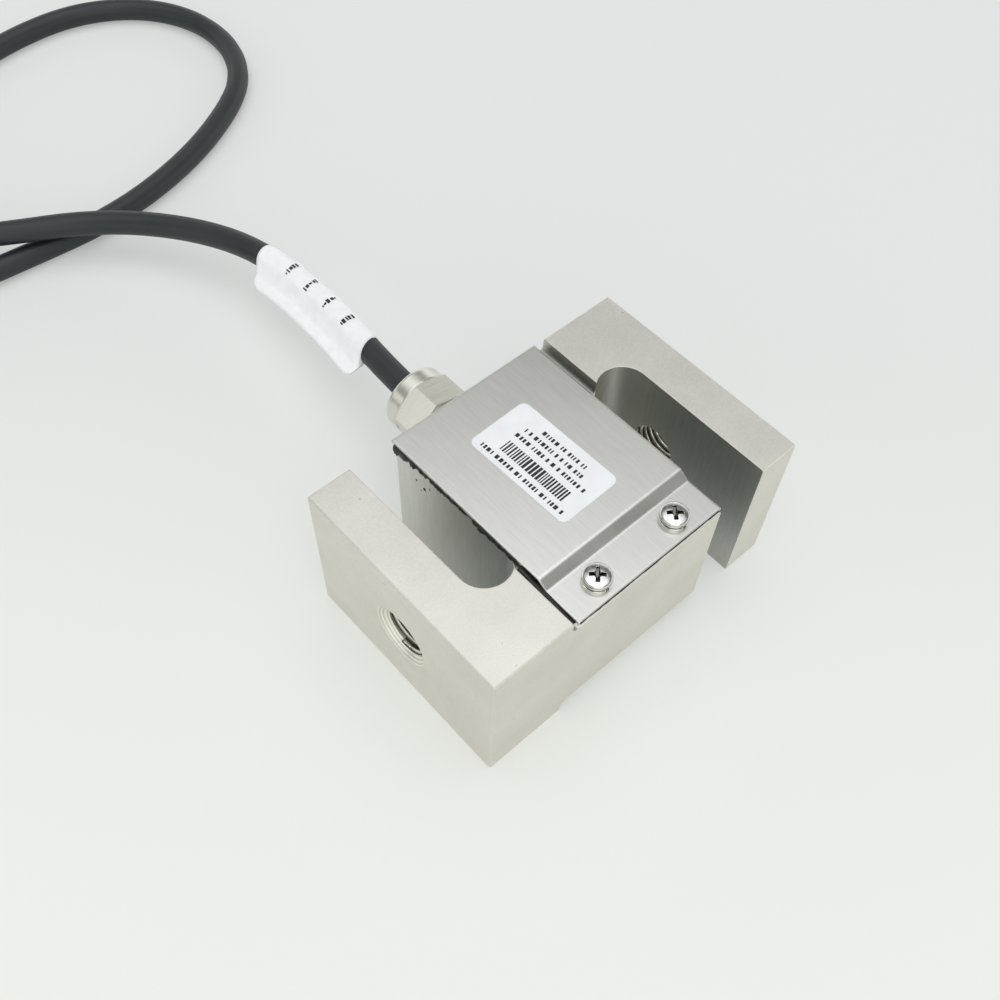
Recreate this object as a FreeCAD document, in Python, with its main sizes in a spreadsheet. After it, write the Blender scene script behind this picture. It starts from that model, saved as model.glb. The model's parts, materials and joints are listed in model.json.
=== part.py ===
"""S type load cell: a slotted spring body with strain gauges on a hidden web, two sheet covers, a cable
gland and a screened four-core cable.

Frame: millimetres, +Z up. The load axis is X, the cable leaves towards +Y. The origin is the centre of
the spring body's footprint, on the surface that it stands on.
"""

import FreeCAD, Part
import math
import os

import Sketcher

V = FreeCAD.Vector

SIZES = {
    # spring body
    "body_length": 76.0,
    "body_width": 50.0,
    "body_height": 35.0,
    "bar_thickness": 9.5,
    "slot_width": 10.8,
    "slot_end_wall": 13.9,
    "recess_side_room": 2.3,
    "recess_depth": 3.1,
    "recess_foot_radius": 1.5,
    "edge_bevel": 0.3,
    "mount_bore": 10.2,
    "mount_countersink": 13.2,
    "pocket_bore": 24.0,
    "web_thickness": 3.0,
    "core_port_bore": 6.0,
    # covers and what seals them
    "sheet_gauge": 0.6,
    "cover_side_overhang": 0.4,
    "cover_front_setback": 0.5,
    "cover_back_overhang": 0.7,
    "flange_depth": 8.3,
    "joggle_run": 2.2,
    "joggle_rise": 1.4,
    "bend_radius": 0.4,
    "sealant_edge": 1.0,
    # cover screws
    "screw_thread": 3.0,
    "screw_reach": 6.0,
    "screw_head": 5.6,
    "screw_head_height": 2.2,
    "screw_head_rim": 0.8,
    "screw_spacing": 19.6,
    "screw_setback": 4.1,
    "screw_clearance": 0.2,
    "cross_span": 3.0,
    "cross_slot": 0.75,
    "cross_depth": 1.3,
    # cable gland
    "gland_thread": 8.0,
    "gland_thread_reach": 7.0,
    "thread_clearance": 0.05,
    "nipple_hex_flats": 12.0,
    "nipple_hex_depth": 3.2,
    "nipple_barrel": 10.0,
    "nipple_reach": 11.5,
    "seal_ring_width": 1.4,
    "seal_ring_thickness": 1.2,
    "nut_setback": 7.0,
    "nut_hex_flats": 14.0,
    "nut_hex_depth": 7.1,
    "nut_corner_bevel": 0.4,
    "nut_collar": 14.4,
    "nut_collar_depth": 3.6,
    "nut_collar_round": 0.8,
    "nut_end_wall": 1.6,
    "clamp_washer_gauge": 0.8,
    # strain gauges and wiring
    "gauge_side": 6.0,
    "gauge_thickness": 0.15,
    "gauge_spacing": 9.4,
    "gauge_setback": 1.5,
    "board_width": 9.0,
    "board_depth": 4.0,
    "board_thickness": 0.8,
    "board_place": 7.6,
    "potting_depth": 2.5,
    "potting_gap": 0.2,
    # label on the top cover
    "label_width": 14.5,
    "label_length": 25.0,
    "label_thickness": 0.1,
    "label_corner": 1.5,
    "label_place": 3.8,
    "label_turn": 1.5,
    # cable
    "cable_diameter": 5.7,
    "cable_clearance": 0.15,
    "sheath_start": 2.0,
    "core_diameter": 0.8,
    "core_spacing": 1.0,
    "core_web_gap": 0.1,
    "lead_diameter": 1.2,
    "lead_tip_diameter": 0.6,
    "lead_tip_length": 6.0,
    "tag_thickness": 0.18,
    "tag_start": 16.0,
    "tag_length": 41.0,
    "tag_flag": 4.8,
    "tag_flag_root": 1.6,
    "tag_flag_droop": 28.0,
    "coil_radius": 31.0,
    "coil_tracks": 3.0,
}

LEFT, RIGHT = -1, 1
HEX_RIDGE = 15  # degrees from X to the first ridge of the gland's hexagons


class Size:
    """A length that is known both as a spreadsheet expression and as its present value."""

    def __init__(self, text, value):
        self.text = text
        self.value = value

    def __add__(self, other):
        return Size(f"({self.text} + {text_of(other)})", self.value + value_of(other))

    def __radd__(self, other):
        return Size(f"({text_of(other)} + {self.text})", value_of(other) + self.value)

    def __sub__(self, other):
        return Size(f"({self.text} - {text_of(other)})", self.value - value_of(other))

    def __rsub__(self, other):
        return Size(f"({text_of(other)} - {self.text})", value_of(other) - self.value)

    def __mul__(self, other):
        return Size(f"({self.text} * {text_of(other)})", self.value * value_of(other))

    def __rmul__(self, other):
        return Size(f"({text_of(other)} * {self.text})", value_of(other) * self.value)

    def __truediv__(self, other):
        return Size(f"({self.text} / {text_of(other)})", self.value / value_of(other))

    def __neg__(self):
        return Size(f"(0 - {self.text})", -self.value)


def text_of(length):
    return length.text if isinstance(length, Size) else f"{length:.12g}"


def value_of(length):
    return length.value if isinstance(length, Size) else float(length)


def make_sheet(doc):
    """The driving dimensions, one to a row: name, value."""
    sheet = doc.addObject("Spreadsheet::Sheet", "Sizes")
    for row, (name, value) in enumerate(SIZES.items(), start=1):
        sheet.set(f"A{row}", name)
        sheet.set(f"B{row}", str(value))
        sheet.setAlias(f"B{row}", name)
    return sheet


class Sizes:
    """Every driving dimension as an attribute."""

    def __init__(self, values):
        for name, value in values.items():
            setattr(self, name, Size(f"Sizes.{name}", value))


def bind(obj, prop, length):
    """Tie a property to the sheet, or set it where it is a plain number."""
    if isinstance(length, Size):
        obj.setExpression(prop, length.text)
    else:
        obj.setExpression(prop, text_of(length))


def place(obj, x=0, y=0, z=0, axis=None, angle=0):
    """Seat an object at bound coordinates, turned by angle degrees about axis."""
    if axis is not None:
        obj.Placement = FreeCAD.Placement(V(0, 0, 0), FreeCAD.Rotation(axis, angle))
    for name, length in zip("xyz", (x, y, z)):
        bind(obj, f"Placement.Base.{name}", length)


# ---------------------------------------------------------------- sketches


def new_sketch(body, name, plane="XY_Plane", lift=0, shift_y=0):
    """A sketch on one of the body's own planes, lifted along its normal or shifted along its own y."""
    sketch = body.newObject("Sketcher::SketchObject", name)
    origin_plane = [f for f in body.Origin.OriginFeatures if f.Role == plane][0]
    sketch.AttachmentSupport = [(origin_plane, "")]
    sketch.MapMode = "FlatFace"
    bind(sketch, "AttachmentOffset.Base.z", lift)
    bind(sketch, "AttachmentOffset.Base.y", shift_y)
    return sketch


def fix(sketch, kind, *where, length, name):
    """A dimension of a sketch, named and tied to the sheet."""
    number = sketch.addConstraint(Sketcher.Constraint(kind, *where, value_of(length)))
    sketch.renameConstraint(number, name)
    if isinstance(length, Size):
        sketch.setExpression(f"Constraints.{name}", length.text)


def draw_outline(sketch, corners, tag="p"):
    """A closed outline through corners. A corner is (x, y) for a straight side up to it, or
    (x, y, radius, turn) for an arc up to it, turn 1 anticlockwise or -1 clockwise."""
    count = len(corners)
    first = sketch.GeometryCount
    for i, corner in enumerate(corners):
        start = V(value_of(corners[i - 1][0]), value_of(corners[i - 1][1]), 0)
        end = V(value_of(corner[0]), value_of(corner[1]), 0)
        if len(corner) == 2:
            sketch.addGeometry(Part.LineSegment(start, end))
            continue
        radius, turn = value_of(corner[2]), corner[3]
        half = (end - start) * 0.5
        rise = math.sqrt(max(radius**2 - half.Length**2, 0))
        centre = start + half + V(-half.y, half.x, 0).normalize() * rise * turn
        a = math.atan2(start.y - centre.y, start.x - centre.x)
        b = math.atan2(end.y - centre.y, end.x - centre.x)
        if turn < 0:
            a, b = b, a
        circle = Part.Circle(centre, V(0, 0, 1), radius)
        sketch.addGeometry(Part.ArcOfCircle(circle, a, b))
    for i, corner in enumerate(corners):
        side, following = first + i, first + (i + 1) % count
        ends = 2 if len(corner) == 2 or corner[3] > 0 else 1
        after = corners[(i + 1) % count]
        starts = 1 if len(after) == 2 or after[3] > 0 else 2
        sketch.addConstraint(Sketcher.Constraint("Coincident", side, ends, following, starts))
        fix(sketch, "DistanceX", -1, 1, side, ends, length=corner[0], name=f"{tag}_x{i}")
        fix(sketch, "DistanceY", -1, 1, side, ends, length=corner[1], name=f"{tag}_y{i}")
        if len(corner) == 4:
            fix(sketch, "Radius", side, length=corner[2], name=f"{tag}_r{i}")


def draw_circle(sketch, x, y, diameter, tag="c"):
    number = sketch.addGeometry(
        Part.Circle(V(value_of(x), value_of(y), 0), V(0, 0, 1), value_of(diameter) / 2)
    )
    fix(sketch, "DistanceX", -1, 1, number, 3, length=x, name=f"{tag}_x")
    fix(sketch, "DistanceY", -1, 1, number, 3, length=y, name=f"{tag}_y")
    fix(sketch, "Diameter", number, length=diameter, name=f"{tag}_dia")


def rectangle(x1, x2, y1, y2):
    return [(x1, y1), (x2, y1), (x2, y2), (x1, y2)]


def hexagon(flats, ridge):
    """A hexagon of the given width across its flats, one ridge at the angle ridge in degrees."""
    corner = flats / math.sqrt(3)
    turns = [math.radians(ridge + 60 * number) for number in range(6)]
    return [(corner * math.cos(turn), corner * math.sin(turn)) for turn in turns]


# ---------------------------------------------------------------- features


def new_body(doc, name):
    body = doc.addObject("PartDesign::Body", name)
    body.Label = name
    return body


def add_pad(body, sketch, length, midplane=False):
    pad = body.newObject("PartDesign::Pad", f"{sketch.Name}_pad")
    pad.Profile = sketch
    bind(pad, "Length", length)
    pad.Midplane = midplane
    return pad


def add_pocket(body, sketch, length=None, reverse=False, midplane=False):
    """A cut to a depth, or right through where no length is given."""
    pocket = body.newObject("PartDesign::Pocket", f"{sketch.Name}_cut")
    pocket.Profile = sketch
    pocket.Midplane = midplane
    pocket.Reversed = reverse
    if length is None:
        pocket.Type = "ThroughAll"
    else:
        bind(pocket, "Length", length)
    return pocket


def add_turned(body, sketch, cut=False, axis="V_Axis"):
    """A revolution of the sketch about its own axis, or the groove that it cuts."""
    kind = "PartDesign::Groove" if cut else "PartDesign::Revolution"
    turned = body.newObject(kind, f"{sketch.Name}_turn")
    turned.Profile = sketch
    turned.ReferenceAxis = (sketch, [axis])
    turned.Angle = 360
    return turned


# ---------------------------------------------------------------- spring body


def block_half(s):
    """Half the length of the middle block, between the two slots."""
    return s.body_length / 2 - s.bar_thickness - s.slot_width


def slot_outline(side, s):
    """A slot beside the middle block, open at one face and round at its blind end. The left slot opens
    at the back and the right one at the front."""
    opening = -side
    radius = s.slot_width / 2
    far = (s.body_length / 2 - s.bar_thickness) * side
    near = block_half(s) * side
    mouth = (s.body_width / 2 + 1) * opening
    round_start = (s.body_width / 2 - s.slot_end_wall - radius) * (-opening)
    return [
        (far, mouth),
        (far, round_start),
        (far - radius * side, round_start - radius * opening, radius, 1),
        (near, round_start, radius, 1),
        (near, mouth),
    ]


def recess_outline(face, s):
    """The shallow full-width recess of a large face, with rounded feet. face is 1 for the top."""
    half = block_half(s) + s.recess_side_room
    foot = s.recess_foot_radius
    edge = (s.body_height + 1) if face > 0 else Size("(0 - 1)", -1.0)
    floor = (s.body_height - s.recess_depth) if face > 0 else s.recess_depth + 0
    rise = floor + foot * face
    return [
        (-half, edge),
        (-half, rise),
        (-half + foot, floor, foot, face),
        (half - foot, floor),
        (half, rise, foot, face),
        (half, edge),
    ]


def bevelled_edges(shape, s):
    """The sharp outer edges of the bars and of the four upright corners."""
    found = []
    half_x, half_y = value_of(s.body_length) / 2, value_of(s.body_width) / 2
    height = value_of(s.body_height)
    for number, edge in enumerate(shape.Edges, start=1):
        if edge.Curve.TypeId != "Part::GeomLine":
            continue
        a, b = edge.Vertexes[0].Point, edge.Vertexes[-1].Point
        at_end = abs(abs(a.x) - half_x) < 1e-6 and abs(a.x - b.x) < 1e-6
        at_side = abs(abs(a.y) - half_y) < 1e-6 and abs(a.y - b.y) < 1e-6
        on_face = abs(a.z - b.z) < 1e-6 and min(abs(a.z), abs(a.z - height)) < 1e-6
        if (at_end and at_side) or (on_face and (at_end or at_side)):
            found.append(f"Edge{number}")
    return found


def make_spring_body(doc, s):
    body = new_body(doc, "spring_body")
    half_x, half_y, height = s.body_length / 2, s.body_width / 2, s.body_height

    block = new_sketch(body, "block")
    draw_outline(block, rectangle(-half_x, half_x, -half_y, half_y))
    add_pad(body, block, height)

    slots = new_sketch(body, "slots")
    for side in (LEFT, RIGHT):
        draw_outline(slots, slot_outline(side, s), tag=f"s{side + 1}")
    add_pocket(body, slots, reverse=True)

    recesses = new_sketch(body, "recesses", "XZ_Plane")
    for face in (-1, 1):
        draw_outline(recesses, recess_outline(face, s), tag=f"f{face + 1}")
    add_pocket(body, recesses, s.body_width + 2, midplane=True)

    wells = new_sketch(body, "gauge_wells", "XZ_Plane")
    well, web = s.pocket_bore / 2, s.web_thickness / 2
    draw_outline(wells, rectangle(0, well, 0, height / 2 - web), tag="low")
    draw_outline(wells, rectangle(0, well, height / 2 + web, height), tag="top")
    add_turned(body, wells, cut=True)

    mounts = new_sketch(body, "mount_bores", "XZ_Plane", shift_y=height / 2)
    sink = (s.mount_countersink - s.mount_bore) / 2
    for side in (LEFT, RIGHT):
        outside, inside = half_x * side, (half_x - s.bar_thickness - s.slot_width / 4) * side
        shape = [
            (outside, 0),
            (outside, s.mount_countersink / 2),
            (outside - sink * side, s.mount_bore / 2),
            (inside, s.mount_bore / 2),
            (inside, 0),
        ]
        draw_outline(mounts, shape, tag=f"m{side + 1}")
    add_turned(body, mounts, cut=True, axis="H_Axis")

    port = new_sketch(body, "cable_port", lift=height / 2)
    thread, core = s.gland_thread / 2, s.core_port_bore / 2
    step, end = half_y - s.gland_thread_reach, s.pocket_bore / 2 - 1
    shape = [(0, half_y), (0, end), (core, end), (core, step), (thread, step), (thread, half_y)]
    draw_outline(port, shape)
    add_turned(body, port, cut=True)

    for face, lift in (("low", 0), ("top", height)):
        holes = new_sketch(body, f"screw_holes_{face}", lift=lift)
        for side in (LEFT, RIGHT):
            x = s.screw_spacing / 2 * side
            draw_circle(holes, x, screw_row(s), s.screw_thread, tag=f"h{side + 1}")
        depth = s.recess_depth + s.screw_reach
        add_pocket(body, holes, depth, reverse=(face == "low"))

    doc.recompute()
    sharp = body.Tip
    bevel = body.newObject("PartDesign::Chamfer", "edge_bevels")
    bevel.Base = (sharp, bevelled_edges(sharp.Shape, s))
    bind(bevel, "Size", s.edge_bevel)
    return body


# ---------------------------------------------------------------- covers


def seat_on_floor(obj, face, s, x=0, y=0, lift=0):
    """Seat a piece at a height above the recess floor: on the top face as drawn, or turned over about Y
    for the bottom face."""
    depth = s.recess_depth - lift
    if face > 0:
        place(obj, x, y, s.body_height - depth)
    else:
        place(obj, x, y, depth, axis=V(0, 1, 0), angle=180)


def cover_profile(s):
    """The joggled sheet seen from the side, in (y, z): flange, slope, raised deck."""
    front = -s.body_width / 2 + s.cover_front_setback
    foot = front + s.flange_depth
    head = foot + s.joggle_run
    back = s.body_width / 2 + s.cover_back_overhang
    gauge, rise = s.sheet_gauge, s.joggle_rise
    slope = 0.29 * gauge  # keeps the sheet's thickness where it slopes by about 32 degrees
    return [
        (front, 0),
        (foot + slope, 0),
        (head + slope, rise),
        (back, rise),
        (back, rise + gauge),
        (head - slope, rise + gauge),
        (foot - slope, gauge),
        (front, gauge),
    ]


def bend_lines(shape, corners):
    """The edges along X that pass through the given (y, z) corners."""
    found = []
    for number, edge in enumerate(shape.Edges, start=1):
        middle = edge.CenterOfMass
        along = abs(edge.Vertexes[0].Point.y - edge.Vertexes[-1].Point.y) < 1e-6
        for y, z in corners:
            if along and abs(middle.y - value_of(y)) < 1e-3 and abs(middle.z - value_of(z)) < 1e-3:
                found.append(f"Edge{number}")
    return found


def make_cover(doc, s, name, face):
    body = new_body(doc, name)
    strip = new_sketch(body, f"{name}_strip", "YZ_Plane")
    profile = cover_profile(s)
    draw_outline(strip, profile)
    add_pad(body, strip, 2 * (block_half(s) + s.cover_side_overhang), midplane=True)

    _, foot_low, head_low, _, _, head_high, foot_high, _ = profile
    bends = (("outer", (foot_low, head_high), s.bend_radius + s.sheet_gauge),
             ("inner", (head_low, foot_high), s.bend_radius))
    for word, corners, radius in bends:
        doc.recompute()
        sharp = body.Tip
        bend = body.newObject("PartDesign::Fillet", f"{name}_{word}_bends")
        bend.Base = (sharp, bend_lines(sharp.Shape, corners))
        bind(bend, "Radius", radius)

    holes = new_sketch(body, f"{name}_holes")
    for side in (LEFT, RIGHT):
        hole = s.screw_thread + 2 * s.screw_clearance
        draw_circle(holes, s.screw_spacing / 2 * side, screw_row(s), hole, tag=f"h{side + 1}")
    add_pocket(body, holes, reverse=True)
    seat_on_floor(body, face, s)
    return body


def screw_row(s):
    """How far forward the two screws of a cover stand."""
    return -s.body_width / 2 + s.cover_front_setback + s.screw_setback


def make_sealant(doc, s, name, face):
    """A bed of black sealant that fills the height under the raised deck, open round the gauge well."""
    half = block_half(s)
    front = -s.body_width / 2 + s.cover_front_setback + s.flange_depth + s.joggle_run + s.sealant_edge
    body = new_body(doc, name)
    bed = new_sketch(body, f"{name}_bed")
    draw_outline(bed, rectangle(-half, half, front, s.body_width / 2))
    draw_circle(bed, 0, 0, s.pocket_bore)
    add_pad(body, bed, s.joggle_rise)
    seat_on_floor(body, face, s)
    return body


def make_screw(doc, s, name, face, side):
    """A pan head screw with a cross recess, drawn with z = 0 under its head."""
    body = new_body(doc, name)
    profile = new_sketch(body, f"{name}_profile", "XZ_Plane")
    shank, head = s.screw_thread / 2 - s.thread_clearance, s.screw_head / 2
    crown = s.screw_head_height - s.screw_head_rim
    dome = (head * head + crown * crown) / (2 * crown)
    shape = [
        (0, -s.screw_reach),
        (shank, -s.screw_reach),
        (shank, 0),
        (head, 0),
        (head, s.screw_head_rim),
        (0, s.screw_head_height, dome, 1),
    ]
    draw_outline(profile, shape)
    add_turned(body, profile)

    cross = new_sketch(body, f"{name}_cross", lift=s.screw_head_height)
    arm, slot = s.cross_span / 2, s.cross_slot / 2
    quarter = [(arm, slot), (slot, slot), (slot, arm)]
    shape = []
    for turn in range(4):
        for x, y in quarter:
            for _ in range(turn):
                x, y = -y, x
            shape.append((x, y))
    draw_outline(cross, shape)
    add_pocket(body, cross, s.cross_depth)
    x = s.screw_spacing / 2 * side
    seat_on_floor(body, face, s, x, screw_row(s), lift=s.sheet_gauge)
    return body


# ---------------------------------------------------------------- cable gland


def seat_on_back(obj, s, out=0):
    """Seat a piece that was drawn along +Z on the back face, its axis on the cable port."""
    place(obj, 0, s.body_width / 2 + out, s.body_height / 2, axis=V(1, 0, 0), angle=-90)


def ridge_bevel(flats, bevel, end):
    """What is turned off the ridges of a hexagon at its outer face, in (radius, height): a triangle that
    starts at the flats and falls by half its width."""
    rim = flats / 2
    return [(rim, end), (rim + 4 * bevel, end), (rim + 4 * bevel, end - 2 * bevel)]


def make_nipple(doc, s):
    """The fixed half of the gland: a thread into the body, a hexagon and a barrel for the nut."""
    body = new_body(doc, "gland_nipple")
    seal, hex_end = s.seal_ring_thickness, s.seal_ring_thickness + s.nipple_hex_depth
    head = new_sketch(body, "nipple_hexagon", lift=seal)
    draw_outline(head, hexagon(s.nipple_hex_flats, HEX_RIDGE))
    add_pad(body, head, s.nipple_hex_depth)

    profile = new_sketch(body, "nipple_profile", "XZ_Plane")
    thread = s.gland_thread / 2 - s.thread_clearance
    shape = [
        (0, -s.gland_thread_reach),
        (thread, -s.gland_thread_reach),
        (thread, seal),
        (s.nipple_barrel / 2, seal),
        (s.nipple_barrel / 2, s.nipple_reach),
        (0, s.nipple_reach),
    ]
    draw_outline(profile, shape)
    add_turned(body, profile)

    bevels = new_sketch(body, "nipple_bevels", "XZ_Plane")
    draw_outline(bevels, ridge_bevel(s.nipple_hex_flats, s.nut_corner_bevel, hex_end))
    add_turned(body, bevels, cut=True)

    bore = new_sketch(body, "nipple_bore")
    draw_circle(bore, 0, 0, s.cable_diameter + 2 * s.cable_clearance)
    add_pocket(body, bore, 2 * (s.gland_thread_reach + s.nipple_reach), midplane=True)
    seat_on_back(body, s)
    return body


def make_seal_ring(doc, s):
    """A flat rubber ring between the nipple's flange and the body."""
    outer = doc.addObject("Part::Cylinder", "seal_ring_blank")
    bind(outer, "Radius", s.gland_thread / 2 + s.seal_ring_width)
    bind(outer, "Height", s.seal_ring_thickness)
    hole = doc.addObject("Part::Cylinder", "seal_ring_hole")
    bind(hole, "Radius", s.gland_thread / 2)
    bind(hole, "Height", s.seal_ring_thickness)
    ring = doc.addObject("Part::Cut", "gland_seal_ring")
    ring.Base, ring.Tool = outer, hole
    ring.Label = "gland_seal_ring"
    seat_on_back(ring, s)
    return ring


def make_nut(doc, s):
    """The gland nut: a hexagon, a turned collar and a bore that takes the barrel, bush and washer."""
    body = new_body(doc, "gland_nut")
    start, hex_end = s.nut_setback, s.nut_setback + s.nut_hex_depth
    end = hex_end + s.nut_collar_depth

    head = new_sketch(body, "nut_hexagon", lift=start)
    draw_outline(head, hexagon(s.nut_hex_flats, HEX_RIDGE))
    add_pad(body, head, s.nut_hex_depth)

    bevels = new_sketch(body, "nut_bevels", "XZ_Plane")
    draw_outline(bevels, ridge_bevel(s.nut_hex_flats, s.nut_corner_bevel, hex_end))
    add_turned(body, bevels, cut=True)

    collar = new_sketch(body, "nut_collar", "XZ_Plane")
    radius, rounding = s.nut_collar / 2, s.nut_collar_round
    shape = [
        (0, hex_end),
        (radius, hex_end),
        (radius, end - rounding),
        (radius - rounding, end, rounding, 1),
        (0, end),
    ]
    draw_outline(collar, shape)
    add_turned(body, collar)

    bore = new_sketch(body, "nut_bore", "XZ_Plane")
    inside = s.nipple_barrel / 2 + s.thread_clearance
    hole = s.cable_diameter / 2 + s.cable_clearance
    wall = end - s.nut_end_wall
    shape = [(0, start), (inside, start), (inside, wall), (hole, wall), (hole, end), (0, end)]
    draw_outline(bore, shape)
    add_turned(body, bore, cut=True)
    seat_on_back(body, s)
    return body


def make_ring(doc, s, name, start, end, inner):
    """A turned ring inside the nut, from start to end along the gland's axis."""
    body = new_body(doc, name)
    profile = new_sketch(body, f"{name}_profile", "XZ_Plane")
    draw_outline(profile, rectangle(inner, s.nipple_barrel / 2, start, end))
    add_turned(body, profile)
    seat_on_back(body, s)
    return body


def make_gland(doc, s):
    nut_end = s.nut_setback + s.nut_hex_depth + s.nut_collar_depth
    wall = nut_end - s.nut_end_wall
    washer = wall - s.clamp_washer_gauge
    return [
        make_nipple(doc, s),
        make_seal_ring(doc, s),
        make_nut(doc, s),
        make_ring(doc, s, "gland_bush", s.nipple_reach, washer, s.cable_diameter / 2),
        make_ring(
            doc, s, "gland_clamp_washer", washer, wall, s.cable_diameter / 2 + s.cable_clearance
        ),
    ]


# ---------------------------------------------------------------- gauges, board and potting


def make_gauge(doc, s, face, side):
    """A foil gauge on the web, its grids at 45 degrees to the load axis."""
    name = f"strain_gauge_{'top' if face > 0 else 'bottom'}_{'left' if side < 0 else 'right'}"
    gauge = doc.addObject("Part::Box", name)
    gauge.Label = name
    bind(gauge, "Length", s.gauge_side)
    bind(gauge, "Width", s.gauge_side)
    bind(gauge, "Height", s.gauge_thickness)
    web = s.web_thickness / 2
    low = s.body_height / 2 + (web if face > 0 else -web - s.gauge_thickness)
    x = s.gauge_spacing / 2 * side - s.gauge_side / 2
    place(gauge, x, -s.gauge_side / 2 - s.gauge_setback, low)
    return gauge


def make_board(doc, s):
    """The small board on the web where the cores meet the gauge wires."""
    board = doc.addObject("Part::Box", "terminal_board")
    board.Label = "terminal_board"
    bind(board, "Length", s.board_width)
    bind(board, "Width", s.board_depth)
    bind(board, "Height", s.board_thickness)
    web_top = (s.body_height + s.web_thickness) / 2
    place(board, -s.board_width / 2, s.board_place - s.board_depth / 2, web_top)
    return board


def make_core(doc, s, colour, number):
    """An inner core, from the end of the sheath inside the nipple to the terminal board."""
    name = f"inner_core_{colour}"
    core = doc.addObject("Part::Cylinder", name)
    core.Label = name
    start, board_edge = s.body_width / 2 + s.sheath_start, s.board_place + s.board_depth / 2
    bind(core, "Radius", s.core_diameter / 2)
    bind(core, "Height", start - board_edge)
    x = s.core_spacing * (number - 1.5)
    height = (s.body_height + s.web_thickness + s.core_diameter) / 2 + s.core_web_gap
    place(core, x, board_edge, height, axis=V(1, 0, 0), angle=-90)
    return core


def make_potting(doc, s, face, buried):
    """Soft sealing compound poured over the gauges, with what it buries cut out of it."""
    name = f"gauge_potting_{'top' if face > 0 else 'bottom'}"
    disc = doc.addObject("Part::Cylinder", f"{name}_disc")
    bind(disc, "Radius", s.pocket_bore / 2 - s.potting_gap)
    bind(disc, "Height", s.potting_depth)
    web = s.web_thickness / 2
    place(disc, 0, 0, s.body_height / 2 + (web if face > 0 else -web - s.potting_depth))
    tools = doc.addObject("Part::MultiFuse", f"{name}_buried")
    tools.Shapes = buried
    potting = doc.addObject("Part::Cut", name)
    potting.Base, potting.Tool = disc, tools
    potting.Label = name
    return potting


def make_label(doc, s):
    """A blank sticker with rounded corners on the deck of the top cover."""
    body = new_body(doc, "cover_label")
    outline = new_sketch(body, "label_outline")
    x, y, r = s.label_width / 2, s.label_length / 2, s.label_corner
    shape = [
        (x - r, -y),
        (x, -y + r, r, 1),
        (x, y - r),
        (x - r, y, r, 1),
        (-x + r, y),
        (-x, y - r, r, 1),
        (-x, -y + r),
        (-x + r, -y, r, 1),
    ]
    draw_outline(outline, shape)
    add_pad(body, outline, s.label_thickness)
    deck = s.body_height - s.recess_depth + s.joggle_rise + s.sheet_gauge
    place(body, 0, s.label_place, deck, axis=V(0, 0, 1), angle=s.label_turn.value)
    return body


# ---------------------------------------------------------------- cable

# The route of the cable's two free stretches, point by point: from the sheath's end inside the gland to
# the coil, and from the coil, past a loop on the floor, to the stripped end.
CABLE_OUT = [
    (0, 27, 17.5),
    (0, 52, 17.5),
    (3.3, 73.2, 15.9),
    (3.3, 100.8, 13.6),
    (-4.8, 119.6, 13.1),
    (-20.5, 135, 13.6),
    (-42, 146, 14.25),
    (-56.5, 157, 14.25),
    (-64.5, 173, 14.25),
    (-64.5, 190, 14.25),
]
CABLE_BACK = [
    (-101.2, 153.3, 2.85),
    (-86, 153.3, 2.85),
    (-66, 149.5, 2.85),
    (-40, 147, 2.85),
    (-12, 145, 2.85),
    (14, 151.5, 2.85),
    (35, 163, 2.85),
    (45, 173, 2.85),
    (50, 186, 2.85),
    (49.5, 200, 2.85),
    (44, 212, 2.85),
    (34.5, 221, 2.85),
    (21, 226.5, 2.85),
    (4, 226.5, 2.85),
    (-14, 222.5, 2.85),
    (-29, 214.5, 2.85),
    (-40, 203, 2.85),
    (-46, 190, 2.85),
]
CORD_ARC_SHARE = 0.45


def route_edges(points):
    """Straight runs joined by tangent arcs, each as large as its two runs allow."""
    corners = [V(*p) for p in points]
    edges, radii = [], []
    start = corners[0]
    for before, corner, after in zip(corners, corners[1:], corners[2:]):
        back, on = before - corner, after - corner
        reach = CORD_ARC_SHARE * min(back.Length, on.Length)
        half_turn = (math.pi - back.getAngle(on)) / 2
        radii.append(reach / math.tan(half_turn))
        back.normalize()
        on.normalize()
        enter, leave = corner + back * reach, corner + on * reach
        inward = (back + on).normalize()
        to_centre = radii[-1] / math.cos(half_turn)
        middle = corner + inward * (to_centre - radii[-1])
        edges.append(Part.LineSegment(start, enter).toShape())
        edges.append(Part.Arc(enter, middle, leave).toShape())
        start = leave
    edges.append(Part.LineSegment(start, corners[-1]).toShape())
    return edges, radii


def stretch(edges, start, stop):
    """The part of a route between two lengths along it."""
    kept, done = [], 0.0
    for edge in edges:
        low, high = max(start - done, 0), min(stop - done, edge.Length)
        if high - low > 1e-6:
            first, last = edge.getParameterByLength(low), edge.getParameterByLength(high)
            kept.append(edge.Curve.toShape(first, last))
        done += edge.Length
    return kept


def swept(edges, section):
    """A solid whose section, drawn about the origin in (left, up), follows the edges."""
    path = Part.Wire(edges)
    first = edges[0]
    ahead = first.tangentAt(first.FirstParameter)
    left = V(0, 0, 1).cross(ahead).normalize()
    turn = FreeCAD.Rotation(left, ahead.cross(left), ahead, "ZXY")
    frame = FreeCAD.Placement(first.valueAt(first.FirstParameter), turn)
    profile = section.copy()
    profile.Placement = frame * section.Placement
    return path.makePipeShell([profile], True, False)


def round_section(diameter):
    return Part.Wire([Part.makeCircle(diameter / 2)])


def make_solid(doc, name, shape):
    piece = doc.addObject("Part::Feature", name)
    piece.Label = name
    piece.Shape = shape
    piece.Placement = FreeCAD.Placement()
    return piece


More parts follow.
